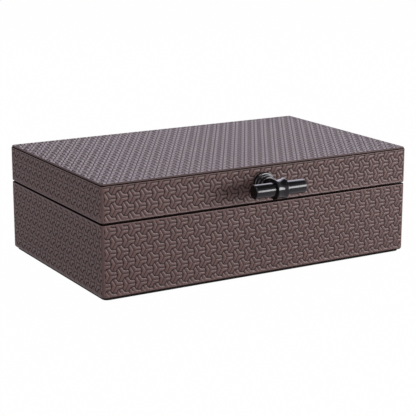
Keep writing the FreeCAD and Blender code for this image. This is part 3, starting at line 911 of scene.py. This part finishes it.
def leather_material():
    """Satin leather, with painted shade in the grooves of its emboss, in the seams, at the foot and under the
    top panel, and paler where tiles are rubbed.
    """
    name = "embossed_leather"
    if name in bpy.data.materials:
        return bpy.data.materials[name]
    settings = bpy.context.scene.box_leather
    material, shader, surface = new_material(name)
    place = shader.place()
    relief = shader.add("ShaderNodeAttribute", attribute_name="relief").outputs["Fac"]
    # raised mixes the painted groove shade in where the relief is low
    raised = shader.ranged(relief, 0.12, 0.75)
    # painted marks the near-black painted shade in the seams, at the foot and under the top panel, where the
    # specular is lowered too
    painted = shader.ranged(relief, SHADE_RELIEF, -0.2, 1.0, 0.0)
    rougher = shader.ranged(relief, 0.2, 0.9, 0.45, 0.0)
    skin = shader.grain(place, scale=1700.0, crease=0.6)
    rubbed = shader.wear(place, start=0.53, full=0.66, scale=90.0, share=0.22)
    top = shader.shaded(settings.colour, shader.toned(skin, 0.86, 1.14))
    leather = shader.mixed(raised, colour(settings.groove_shade_colour), top)
    body = shader.mixed(painted, leather, colour(settings.seam_shade_colour))
    rough = shader.ranged(skin.outputs["Height"], 0.3, 1.2, settings.roughness + 0.07,
                          settings.roughness - 0.05)
    shader.fill(surface, {
        "Base Color": shader.mixed(rubbed, body, colour(settings.colour, RUBBED_FACTOR)),
        "Roughness": shader.maths("ADD", rough, rougher),
        "Specular IOR Level": shader.ranged(painted, 0.0, 1.0, 0.29, 0.03),
    })
    shader.bump(surface, skin, strength=0.2, distance=0.00008)
    return material


def suede_material():
    """Short suede pile with brushed, lighter and darker patches."""
    name = "suede_lining"
    if name in bpy.data.materials:
        return bpy.data.materials[name]
    settings = bpy.context.scene.box_lining
    material, shader, surface = new_material(name)
    place = shader.place()
    nap = shader.grain(place, scale=2600.0, crease=0.1)
    brushed = shader.noise(place, scale=26.0, detail=4.0, distortion=0.6)
    patch = shader.ranged(brushed, 0.35, 0.65, 0.82, 1.16)
    fibre = shader.toned(nap, 0.8, 1.2)
    shader.fill(surface, {
        "Base Color": shader.shaded(settings.colour, shader.maths("MULTIPLY", patch, fibre)),
        "Roughness": 0.95,
        "Specular IOR Level": 0.15,
        "Sheen Weight": 0.35,
        "Sheen Roughness": 0.4,
        "Sheen Tint": colour((0.75, 0.66, 0.62)),
    })
    shader.bump(surface, nap, strength=0.5, distance=0.00012)
    return material


def felt_material():
    """Black pressed felt with loose fibres."""
    material, shader, surface = new_material("black_felt")
    fibres = shader.grain(shader.place(), scale=1900.0, crease=0.2)
    shade = shader.toned(fibres, 0.006, 0.02)
    shader.fill(surface, {
        "Base Color": shader.mixed(shade, colour((0.0, 0.0, 0.0)), colour((1.0, 1.0, 1.05))),
        "Roughness": 1.0,
        "Specular IOR Level": 0.1,
        "Sheen Weight": 0.1,
    })
    shader.bump(surface, fibres, strength=0.7, distance=0.0002)
    return material


def knob_material():
    """Semi-gloss black paint, rubbed a little at its edges."""
    settings = bpy.context.scene.box_metal
    material, shader, surface = new_material("knob_black")
    place = shader.place()
    coat = shader.grain(place, scale=900.0, crease=0.0)
    rubbed = shader.wear(place, start=0.56, full=0.7, scale=220.0, share=0.35)
    black = shader.shaded(settings.knob_colour, shader.toned(coat, 0.8, 1.2))
    roughness = settings.knob_roughness
    shader.fill(surface, {
        "Base Color": shader.mixed(rubbed, black, colour((0.06, 0.06, 0.062))),
        "Roughness": shader.toned(coat, roughness - 0.04, roughness + 0.05),
    })
    shader.bump(surface, coat, strength=0.12, distance=0.00005)
    return material


def metal_material(name, base, roughness):
    """Brushed metal with fine lines along the width, and brighter rubbed edges."""
    material, shader, surface = new_material(name)
    place = shader.place()
    drawn = shader.add("ShaderNodeMapping", {"Vector": place, "Scale": (0.06, 1.0, 1.0)})
    brushing = shader.grain(drawn.outputs["Vector"], scale=5200.0, crease=0.0)
    rubbed = shader.wear(place, start=0.53, full=0.64, scale=300.0, share=0.5)
    body = shader.shaded(base, shader.toned(brushing, 0.82, 1.12))
    shader.fill(surface, {
        "Base Color": shader.mixed(rubbed, body, colour(base, RUBBED_FACTOR)),
        "Metallic": 1.0,
        "Roughness": shader.toned(brushing, roughness - 0.07, roughness + 0.09),
    })
    shader.bump(surface, brushing, strength=0.15, distance=0.00004)
    return material


def board_material(name, base, scale):
    """Raw pressed fibres, speckled lighter and darker."""
    material, shader, surface = new_material(name)
    fibres = shader.grain(shader.place(), scale, crease=0.25)
    shader.fill(surface, {
        "Base Color": shader.shaded(base, shader.toned(fibres, 0.72, 1.2)),
        "Roughness": 0.85,
    })
    shader.bump(surface, fibres, strength=0.4, distance=0.0001)
    return material


# Turned pieces of the knob

ROUND_STEPS = 4
ROUND_LIMIT = 0.45
SHARP_ANGLE = math.radians(38.0)


def softened(outline, rounds):
    """An outline (radius, along) with its corners rounded."""
    outline = [np.array(point, float) for point in outline]
    last = len(outline) - 1
    points = []
    for i, (here, rounding) in enumerate(zip(outline, rounds)):
        if rounding <= 0 or i in (0, last):
            points.append(here)
            continue
        before, after = outline[i - 1] - here, outline[i + 1] - here
        before_size, after_size = np.linalg.norm(before), np.linalg.norm(after)
        size = min(rounding, ROUND_LIMIT * before_size, ROUND_LIMIT * after_size)
        start = here + before / before_size * size
        end = here + after / after_size * size
        for t in np.linspace(0.0, 1.0, ROUND_STEPS + 1):
            points.append((1 - t) ** 2 * start + 2 * t * (1 - t) * here + t * t * end)
    return points


def turned(name, outline, centre, axis, segments, bored):
    """A piece turned about a line from an outline (radius, along). A bored one is a closed ring."""
    direction = Vector(axis).normalized()
    spin = direction.to_track_quat("Z", "Y").to_matrix()
    side, across = np.array(spin.col[0]), np.array(spin.col[1])
    direction = np.array(direction)
    points, rings = [], []
    for radius, along in outline:
        middle = np.array(centre) + direction * along
        if radius < TINY:
            rings.append([len(points)] * segments)
            points.append(middle)
            continue
        rings.append(list(range(len(points), len(points) + segments)))
        for k in range(segments):
            angle = 2 * math.pi * k / segments
            points.append(middle + radius * (side * math.cos(angle) + across * math.sin(angle)))
    pairs = list(zip(rings, rings[1:]))
    if bored:
        pairs.append((rings[-1], rings[0]))
    faces = [list(dict.fromkeys(face)) for low, high in pairs for face in between(low, high)]
    piece = make_mesh(name, points, faces)
    piece.data.set_sharp_from_angle(angle=SHARP_ANGLE)
    return piece


# Operators

SIDES = ("front", "back", "left", "right")
WHITE = (1.0, 1.0, 1.0)


class BOX_OT_studio(bpy.types.Operator):
    """Make the floor, the lamps, the surroundings and the camera"""

    bl_idname = "storage_box.studio"
    bl_label = "Studio"

    # Lamps by the names of their powers in the settings: place, size and tint
    LAMPS = {
        "key": ((1.1, -1.25, 0.24), (1.25, 0.72), WHITE),
        "fill": ((-1.6, -0.4, 0.6), (1.6, 1.6), WHITE),
        "top": ((-0.35, -0.65, 1.45), (0.9, 0.35), WHITE),
        "back": ((0.9, 1.15, 1.1), (1.6, 1.2), (0.89, 0.87, 1.0)),
    }
    LAMP_AIM = Vector((0.0, 0.0, 0.05))

    FLOOR_REACH = 4.0
    FLOOR_DROP = 0.0002
    FLOOR_COLOUR = (0.6, 0.6, 0.6)
    FLOOR_IN_GLOSS = (0.68, 0.63, 0.67)
    FLOOR_GLOW_SHARE = 0.99

    # The ceiling shows only in gloss, and darkens between two heights of the way to it
    CEILING = (0.1, 0.1, 0.11)
    CEILING_RANGE = (0.35, 0.8)
    WALLS_IN_GLOSS = (0.74, 0.69, 0.80)

    SENSOR_WIDTH = 36.0
    FARTHEST = 20.0

    def execute(self, context):
        settings = context.scene.box_studio
        context.scene.view_settings.view_transform = "Standard"
        self.floor(context)
        self.world(context, settings)
        for name, (place, size, tint) in self.LAMPS.items():
            self.lamp(context, f"{name}_lamp", place, size, tint, getattr(settings, name))
        camera = bpy.data.objects.new("camera", bpy.data.cameras.new("camera"))
        camera.location = settings.camera_place
        camera.rotation_euler = settings.camera_turn
        camera.data.lens = settings.lens
        camera.data.sensor_fit = "HORIZONTAL"
        camera.data.sensor_width = self.SENSOR_WIDTH
        camera.data.clip_end = self.FARTHEST
        context.scene.collection.objects.link(camera)
        context.scene.camera = camera
        return {"FINISHED"}

    def lamp(self, context, name, place, size, tint, power):
        """A soft rectangular lamp that faces the box."""
        data = bpy.data.lights.new(name, "AREA")
        data.color = tint
        data.shape = "RECTANGLE"
        data.size, data.size_y = size
        data.energy = power
        lamp = bpy.data.objects.new(name, data)
        lamp.location = place
        lamp.rotation_euler = (self.LAMP_AIM - lamp.location).to_track_quat("-Z", "Y").to_euler()
        context.scene.collection.objects.link(lamp)

    def seen_directly(self, shader):
        """1 for rays from the camera, mirrors and glass, and 0 for light falling on things."""
        path = shader.add("ShaderNodeLightPath").outputs
        seen = shader.maths("MAXIMUM", path["Is Camera Ray"], path["Is Glossy Ray"])
        return shader.maths("MAXIMUM", seen, path["Is Transmission Ray"])

    def show(self, shader, output, share, first, second):
        """Sends a mix of two shaders to the output."""
        mix = shader.add("ShaderNodeMixShader", {0: share, 1: first.outputs[0], 2: second.outputs[0]})
        shader.put(shader.tree.nodes[output].inputs["Surface"], mix.outputs[0])

    def floor(self, context):
        """A pale floor that looks white and still takes the shadow of the box."""
        reach = self.FLOOR_REACH
        corners = [(-reach, -reach, 0), (reach, -reach, 0), (reach, reach, 0), (-reach, reach, 0)]
        mesh = bpy.data.meshes.new("floor")
        mesh.from_pydata(corners, [], [(0, 1, 2, 3)])
        floor = bpy.data.objects.new("floor", mesh)
        floor.location.z = -self.FLOOR_DROP
        context.scene.collection.objects.link(floor)
        material, shader, surface = new_material("pale_floor")
        shader.fill(surface, {
            "Base Color": colour(self.FLOOR_COLOUR),
            "Roughness": 0.9,
            "Specular IOR Level": 0.1,
        })
        glossy = shader.add("ShaderNodeLightPath").outputs["Is Glossy Ray"]
        pale = shader.mixed(glossy, colour(WHITE), colour(self.FLOOR_IN_GLOSS))
        glow = shader.add("ShaderNodeEmission", {"Color": pale, "Strength": 1.0})
        share = shader.maths("MULTIPLY", self.seen_directly(shader), self.FLOOR_GLOW_SHARE)
        self.show(shader, "Material Output", share, surface, glow)
        mesh.materials.append(material)

    def world(self, context, settings):
        """White behind everything, a dark ceiling for the gloss, and an even light."""
        world = bpy.data.worlds.new("studio")
        world.use_nodes = True
        context.scene.world = world
        shader = Shader(world.node_tree)
        even = world.node_tree.nodes["Background"]
        shader.fill(even, {"Color": colour(WHITE), "Strength": settings.ambient})
        way = shader.add("ShaderNodeTexCoord").outputs["Generated"]
        height = shader.add("ShaderNodeSeparateXYZ", {0: way}).outputs["Z"]
        glossy = shader.add("ShaderNodeLightPath").outputs["Is Glossy Ray"]
        ceiling = shader.maths("MULTIPLY", shader.ranged(height, *self.CEILING_RANGE), glossy)
        walls = shader.mixed(glossy, colour(WHITE), colour(self.WALLS_IN_GLOSS))
        around = shader.mixed(ceiling, walls, colour(self.CEILING))
        white = shader.add("ShaderNodeBackground", {"Color": around, "Strength": 1.0})
        self.show(shader, "World Output", self.seen_directly(shader), even, white)


class BOX_OT_wraps(bpy.types.Operator):
    """Make the embossed leather round the walls of the base and of the lid"""

    bl_idname = "storage_box.wraps"
    bl_label = "Leather round the walls"

    # Middle of a tile on the front: distance from the left side, and height
    BASE_TILE = (7.0, 60.7)
    LID_TILE = (7.3, 89.1)
    # The lid's leather lies a little slacker, so one more tile goes round it
    LID_EXTRA_TILES = 1

    def execute(self, context):
        settings = context.scene.box_emboss
        front = STARTS[FRONT_SPAN] - CORNER_ROUND
        base = wrap("base_leather", settings, WRAP_HIGH[2], WRAP_LOW[2], FOOT_ROUND,
                    (front + self.BASE_TILE[0], self.BASE_TILE[1]))
        dress(base, "base", "leather", leather_material(), "base_leather_wrap")
        lid = wrap("lid_leather", settings, LID_LOW[2], LID_HIGH[2], LID_TOP_ROUND,
                   (front + self.LID_TILE[0], self.LID_TILE[1]), self.LID_EXTRA_TILES, LID_LIP)
        dress(lid, "lid", "leather", leather_material(), "lid_leather_wrap")
        return {"FINISHED"}


class BOX_OT_top_panel(bpy.types.Operator):
    """Make the embossed panel on the lid with its rolled edge"""

    bl_idname = "storage_box.top_panel"
    bl_label = "Top panel"

    ROLL_WIDTH = 1.3
    ROLL_HEIGHT = 1.2
    # Mark of the rolled edge: partly painted shade, a little darker than the top, and rougher
    ROLL_SHADE_RELIEF = 0.55
    FOOT_ROUND = 0.45
    CORNER = 2.6
    CROWN = 0.75
    # Room between the leather and the card, and how far the leather comes in over the card
    CARD_ROOM = 0.05
    CARD_EDGE = 0.3
    FIRST_TILE = (-152.0, -93.3)
    # The leather on top is drawn tighter over the card than on the walls, and stamped a little deeper
    TILE_WIDTH_SHARE = 0.9716
    TILE_DEPTH_SHARE = 0.938
    GROOVE_SHARE = 1.2

    def execute(self, context):
        settings = context.scene.box_emboss
        half_x = PANEL_HIGH[0] - self.ROLL_WIDTH
        half_y = PANEL_HIGH[1] - self.ROLL_WIDTH
        top, foot = PANEL_HIGH[2] + self.CROWN, PANEL_LOW[2] + LID_LIP
        points, faces = self.face(settings, half_x, half_y)
        inset = np.minimum(half_x - np.abs(points[:, 0]), half_y - np.abs(points[:, 1]))
        relief = points[:, 2] * smooth_step(0.0, settings.fade / MM / PANEL_FADE_PART, inset)
        points[:, 2] = top + relief
        path = roll(self.ROLL_WIDTH, self.ROLL_HEIGHT, top)
        rolled = len(path)
        path += [(self.ROLL_WIDTH - self.FOOT_ROUND * gone, foot + self.FOOT_ROUND * left)
                 for gone, left in bend(INNER_TURNS)]
        under = self.ROLL_WIDTH - LEATHER - self.CARD_ROOM
        path += [(under, foot), (under, foot + self.CARD_ROOM), (self.CARD_EDGE, CARD_TOP + self.CARD_ROOM)]
        all_points, faces = rolled_panel(points, faces, half_x, half_y, path, self.CORNER)
        # Painted shade: the rolled edge is marked partly dark, and its foot near black for the groove under
        # the panel
        all_relief = np.full(len(all_points), self.ROLL_SHADE_RELIEF)
        all_relief[:len(points)] = 1.0 + relief / (settings.groove / MM)
        ring = (len(all_points) - len(points)) // len(path)
        all_relief[len(points) + rolled * ring:] = SHADE_RELIEF
        panel = even_tops(make_mesh("lid_top_leather_panel", all_points, faces, all_relief))
        dress(panel, "lid", "leather", leather_material(), "lid_top_leather")
        return {"FINISHED"}

    def face(self, settings, half_x, half_y):
        """The embossed face, with heights from its raised tiles, and lines along its edges."""
        pitch = settings.pitch / MM * self.TILE_WIDTH_SHARE
        step = settings.row_pitch / MM * self.TILE_DEPTH_SHARE
        columns = range(-1, math.ceil(2 * half_x / pitch) + 2)
        rows = range(-1, math.ceil(2 * half_y / step) + 2)
        points, faces = tile_field(settings, pitch, columns, rows, self.FIRST_TILE)
        points[:, 1] = self.FIRST_TILE[1] + (points[:, 1] - self.FIRST_TILE[1]) * self.TILE_DEPTH_SHARE
        points[:, 2] *= self.GROOVE_SHARE
        clips, cuts = [], []
        for axis, half in ((0, half_x), (1, half_y)):
            clips += [(axis, -half, 1.0), (axis, half, -1.0)]
            near = [half - e for e in EDGE_LINES]
            cuts += [(axis, near, PANEL_CUT_REACH), (axis, [-p for p in near], PANEL_CUT_REACH)]
        return merged(*cut_field(points, faces, clips, cuts))


class BOX_OT_lining(bpy.types.Operator):
    """Make the suede lining boards and the two padded panels"""

    bl_idname = "storage_box.lining"
    bl_label = "Lining"

    EDGE = 0.9
    CORNER = 1.0
    CROWN = 0.25
    CROWN_POWER = 4
    GRID_STEP = 9.0

    PAD_EDGE = 1.8
    PAD_EDGE_SHARE = 0.8
    PAD_FOOT = 0.3
    PAD_CORNER = 3.0
    PAD_CROWN_POWER = 5
    PAD_GRID_STEP = 6.0
    # Unevenness of a pad: its height, and the length and the start of its waves both ways
    RIPPLE = 0.12
    RIPPLE_X = (23.0, 0.6)
    RIPPLE_Y = (17.0, 1.1)

    def execute(self, context):
        for body in ("base", "lid"):
            for side in SIDES:
                self.board(f"{body}_{side}_lining", body, side)
        crown = context.scene.box_lining.crown / MM
        self.pad("base_floor_pad", "base", 1.0, crown)
        self.pad("lid_roof_pad", "lid", -1.0, crown)
        return {"FINISHED"}

    def board(self, node, body, side):
        """A lined board against a wall, a little fuller in its middle."""
        low, high = node_box(node)
        size, middle = high - low, (high + low) / 2
        along = 0 if side in ("front", "back") else 1
        deep = 1 - along
        half_x = size[along] / 2 - self.EDGE
        half_y = size[2] / 2 - self.EDGE
        thick = size[deep]

        def height(x, y):
            swell = (1 - (x / half_x) ** self.CROWN_POWER) * (1 - (y / half_y) ** self.CROWN_POWER)
            return thick - self.CROWN * (1 - swell)

        points, faces = panel_grid(half_x, half_y, self.GRID_STEP, height)
        path = roll(self.EDGE, self.EDGE, thick - self.CROWN) + [(self.EDGE, 0.0)]
        points, faces = rolled_panel(points, faces, half_x, half_y, path, self.CORNER)
        inward = 1.0 if side in ("front", "left") else -1.0
        back = low[deep] if inward > 0 else high[deep]
        placed = np.zeros_like(points)
        placed[:, along] = middle[along] + points[:, 0]
        placed[:, 2] = middle[2] + points[:, 1]
        placed[:, deep] = back + inward * points[:, 2]
        piece = make_mesh(f"{node}_suede", placed, faces)
        dress(piece, body, "lining", suede_material(), node)

    def pad(self, node, body, up, crown):
        """A soft panel on the closed board, with rolled edges and a fuller middle."""
        low, high = node_box(node)
        half = (high - low) / 2
        half_x, half_y = half[0] - self.PAD_EDGE, half[1] - self.PAD_EDGE
        edge = high[2] - low[2] - crown

        def height(x, y):
            power = self.PAD_CROWN_POWER
            swell = (1 - np.abs(x / half_x) ** power) * (1 - np.abs(y / half_y) ** power)
            wave_x = np.sin(x / self.RIPPLE_X[0] + self.RIPPLE_X[1])
            wave_y = np.sin(y / self.RIPPLE_Y[0] + self.RIPPLE_Y[1])
            return edge + (crown - self.RIPPLE) * swell + self.RIPPLE * wave_x * wave_y * swell

        points, faces = panel_grid(half_x, half_y, self.PAD_GRID_STEP, height)
        path = roll(self.PAD_EDGE, self.PAD_EDGE * self.PAD_EDGE_SHARE, edge)
        path.append((self.PAD_EDGE - self.PAD_FOOT, 0.0))
        points, faces = rolled_panel(points, faces, half_x, half_y, path, self.PAD_CORNER)
        points[:, 2] = low[2] + points[:, 2] if up > 0 else high[2] - points[:, 2]
        piece = make_mesh(f"{node}_suede", points, faces)
        dress(piece, body, "lining", suede_material(), node)


class BOX_OT_felt(bpy.types.Operator):
    """Make the felt sheet under the base"""

    bl_idname = "storage_box.felt"
    bl_label = "Felt"

    EDGE = 0.5
    CORNER = 5.0
    GRID_STEP = 12.0
    FOOT_SHARE = 0.7
    FOOT_RISE = 0.15

    def execute(self, context):
        low, high = node_box("base_felt")
        half_x, half_y = high[0] - self.EDGE, high[1] - self.EDGE
        points, faces = panel_grid(half_x, half_y, self.GRID_STEP, lambda x, y: np.full_like(x, high[2]))
        path = roll(self.EDGE, self.EDGE, high[2])
        path += [(self.EDGE, low[2] + self.EDGE), (self.EDGE * self.FOOT_SHARE, low[2] + self.FOOT_RISE)]
        path.append((0.0, low[2]))
        points, faces = rolled_panel(points, faces, half_x, half_y, path, self.CORNER)
        piece = make_mesh("base_felt_sheet", points, faces)
        dress(piece, "base", "felt", felt_material(), "base_felt")
        return {"FINISHED"}


class BOX_OT_knob(bpy.types.Operator):
    """Make the turned pieces of the knob"""

    bl_idname = "storage_box.knob"
    bl_label = "Knob"

    OUTWARD = (0.0, -1.0, 0.0)
    SIDEWAYS = (1.0, 0.0, 0.0)
    ROSETTE = ((3.03, 0.0), (10.5, 0.0), (10.5, 2.6), (9.9, 3.2), (8.9, 3.4), (8.9, 5.0), (8.3, 5.6),
               (7.8, 5.7), (7.8, 8.6), (7.4, 9.2), (6.6, 9.4), (3.9, 9.4), (3.9, 10.6), (3.03, 10.6))
    ROSETTE_ROUNDS = (0, 0.2, 0.15, 0.15, 0.1, 0.2, 0.15, 0.1, 0.2, 0.15, 0.15, 0.1, 0.2, 0)
    POST_FOOT = (3.0, 10.6)
    BAR_ROUND = 0.9
    COLLAR_RIM = 1.0
    COLLAR_WAIST = 0.8
    COLLAR_ROUND = 0.4
    COLLAR_STEPS = 11

    def execute(self, context):
        segments = context.scene.box_metal.segments
        finish = knob_material()
        low, high = node_box("knob_rosette")
        height = (low[2] + high[2]) / 2
        foot = (0.0, high[1], height)
        low, high = node_box("knob_bar")
        middle = (0.0, (low[1] + high[1]) / 2, height)
        bar_radius = (high[2] - low[2]) / 2
        # Outline, place, axis, and whether the piece is bored
        pieces = {
            "knob_rosette": (softened(self.ROSETTE, self.ROSETTE_ROUNDS), foot, self.OUTWARD, True),
            "knob_post": (self.post(), foot, self.OUTWARD, False),
            "knob_bar": (self.bar(bar_radius, high[0]), middle, self.SIDEWAYS, False),
            "knob_collar": (self.collar(bar_radius), middle, self.SIDEWAYS, True),
        }
        for node, (outline, place, axis, bored) in pieces.items():
            piece = turned(f"{node}_turned", outline, place, axis, segments, bored)
            dress(piece, "lid", "knob_metal", finish, node)
        return {"FINISHED"}

    def post(self):
        """A round post on a thinner foot that goes into the rosette."""
        low, high = node_box("knob_post")
        radius, length = high[0], high[1] - low[1]
        thin, step = self.POST_FOOT
        return [(0.0, 0.0), (thin, 0.0), (thin, step), (radius, step), (radius, length), (0.0, length)]

    def bar(self, radius, half):
        """A plain round bar with softened ends."""
        corners = [(0.0, -half), (radius, -half), (radius, half), (0.0, half)]
        return softened(corners, (0, self.BAR_ROUND, self.BAR_ROUND, 0))

    def collar(self, bore):
        """A ring with a waist between two rims."""
        low, high = node_box("knob_collar")
        radius, half = (high[2] - low[2]) / 2, high[0]
        waist = half - self.COLLAR_RIM
        shares = np.linspace(-1.0, 1.0, self.COLLAR_STEPS)
        outline = [(bore, -half), (radius, -half)]
        outline += [(radius - self.COLLAR_WAIST * (1 - s * s), s * waist) for s in shares]
        outline += [(radius, half), (bore, half)]
        return softened(outline, [0, self.COLLAR_ROUND] + [0] * len(shares) + [self.COLLAR_ROUND, 0])


class BOX_OT_frame_finishes(bpy.types.Operator):
    """Give the hinges, the fixings and the boards their finishes"""

    bl_idname = "storage_box.frame_finishes"
    bl_label = "Hinges and boards"

    HINGE_ROUGHNESS = 0.34
    FIXING_COLOUR = (0.42, 0.41, 0.39)
    FIXING_ROUGHNESS = 0.38
    FIBRE_COLOUR = (0.42, 0.29, 0.18)
    FIBRE_SCALE = 900.0
    CARD_COLOUR = (0.33, 0.31, 0.28)
    CARD_SCALE = 1300.0

    def execute(self, context):
        hinge_colour = context.scene.box_metal.hinge_colour
        hinge = metal_material("hinge_nickel", hinge_colour, self.HINGE_ROUGHNESS)
        fixing = metal_material("zinc_fixings", self.FIXING_COLOUR, self.FIXING_ROUGHNESS)
        fibre = board_material("fibreboard", self.FIBRE_COLOUR, self.FIBRE_SCALE)
        card = board_material("greyboard", self.CARD_COLOUR, self.CARD_SCALE)
        for side in ("left", "right"):
            paint(hinge, f"hinge_{side}_base_leaf", f"hinge_{side}_lid_leaf", f"hinge_{side}_pin")
        paint(hinge, "hinge_base_screws", "hinge_lid_screws")
        paint(fixing, "knob_washer", "knob_screw")
        for body, closed in (("base", "floor"), ("lid", "roof")):
            paint(fibre, *[f"{body}_{part}_board" for part in (*SIDES, closed)])
        paint(card, "lid_top_card")
        return {"FINISHED"}


class BOX_PT_panel(bpy.types.Panel):
    """Sizes, colours and steps of the storage box"""

    bl_idname = "BOX_PT_panel"
    bl_label = "Storage box"
    bl_space_type = "VIEW_3D"
    bl_region_type = "UI"
    bl_category = "Storage box"

    def draw(self, context):
        for key in SETTINGS:
            group = getattr(context.scene, key)
            column = self.layout.column()
            for name in group.bl_rna.properties.keys():
                if name not in ("name", "rna_type"):
                    column.prop(group, name)
        for operator in OPERATORS:
            self.layout.operator(operator.bl_idname)


SETTINGS = {
    "box_emboss": EmbossSettings,
    "box_leather": LeatherSettings,
    "box_lining": LiningSettings,
    "box_metal": MetalSettings,
    "box_studio": StudioSettings,
}
OPERATORS = (BOX_OT_studio, BOX_OT_wraps, BOX_OT_top_panel, BOX_OT_lining, BOX_OT_felt, BOX_OT_knob,
             BOX_OT_frame_finishes)
CLASSES = (*SETTINGS.values(), *OPERATORS, BOX_PT_panel)


def register():
    for item in CLASSES:
        bpy.utils.register_class(item)
    for key, group in SETTINGS.items():
        setattr(bpy.types.Scene, key, PointerProperty(type=group))


def unregister():
    for key in SETTINGS:
        delattr(bpy.types.Scene, key)
    for item in reversed(CLASSES):
        bpy.utils.unregister_class(item)


def main():
    register()
    bpy.ops.storage_box.studio()
    bpy.ops.storage_box.wraps()
    bpy.ops.storage_box.top_panel()
    bpy.ops.storage_box.lining()
    bpy.ops.storage_box.felt()
    bpy.ops.storage_box.knob()
    bpy.ops.storage_box.frame_finishes()


if __name__ == "__main__":
    main()
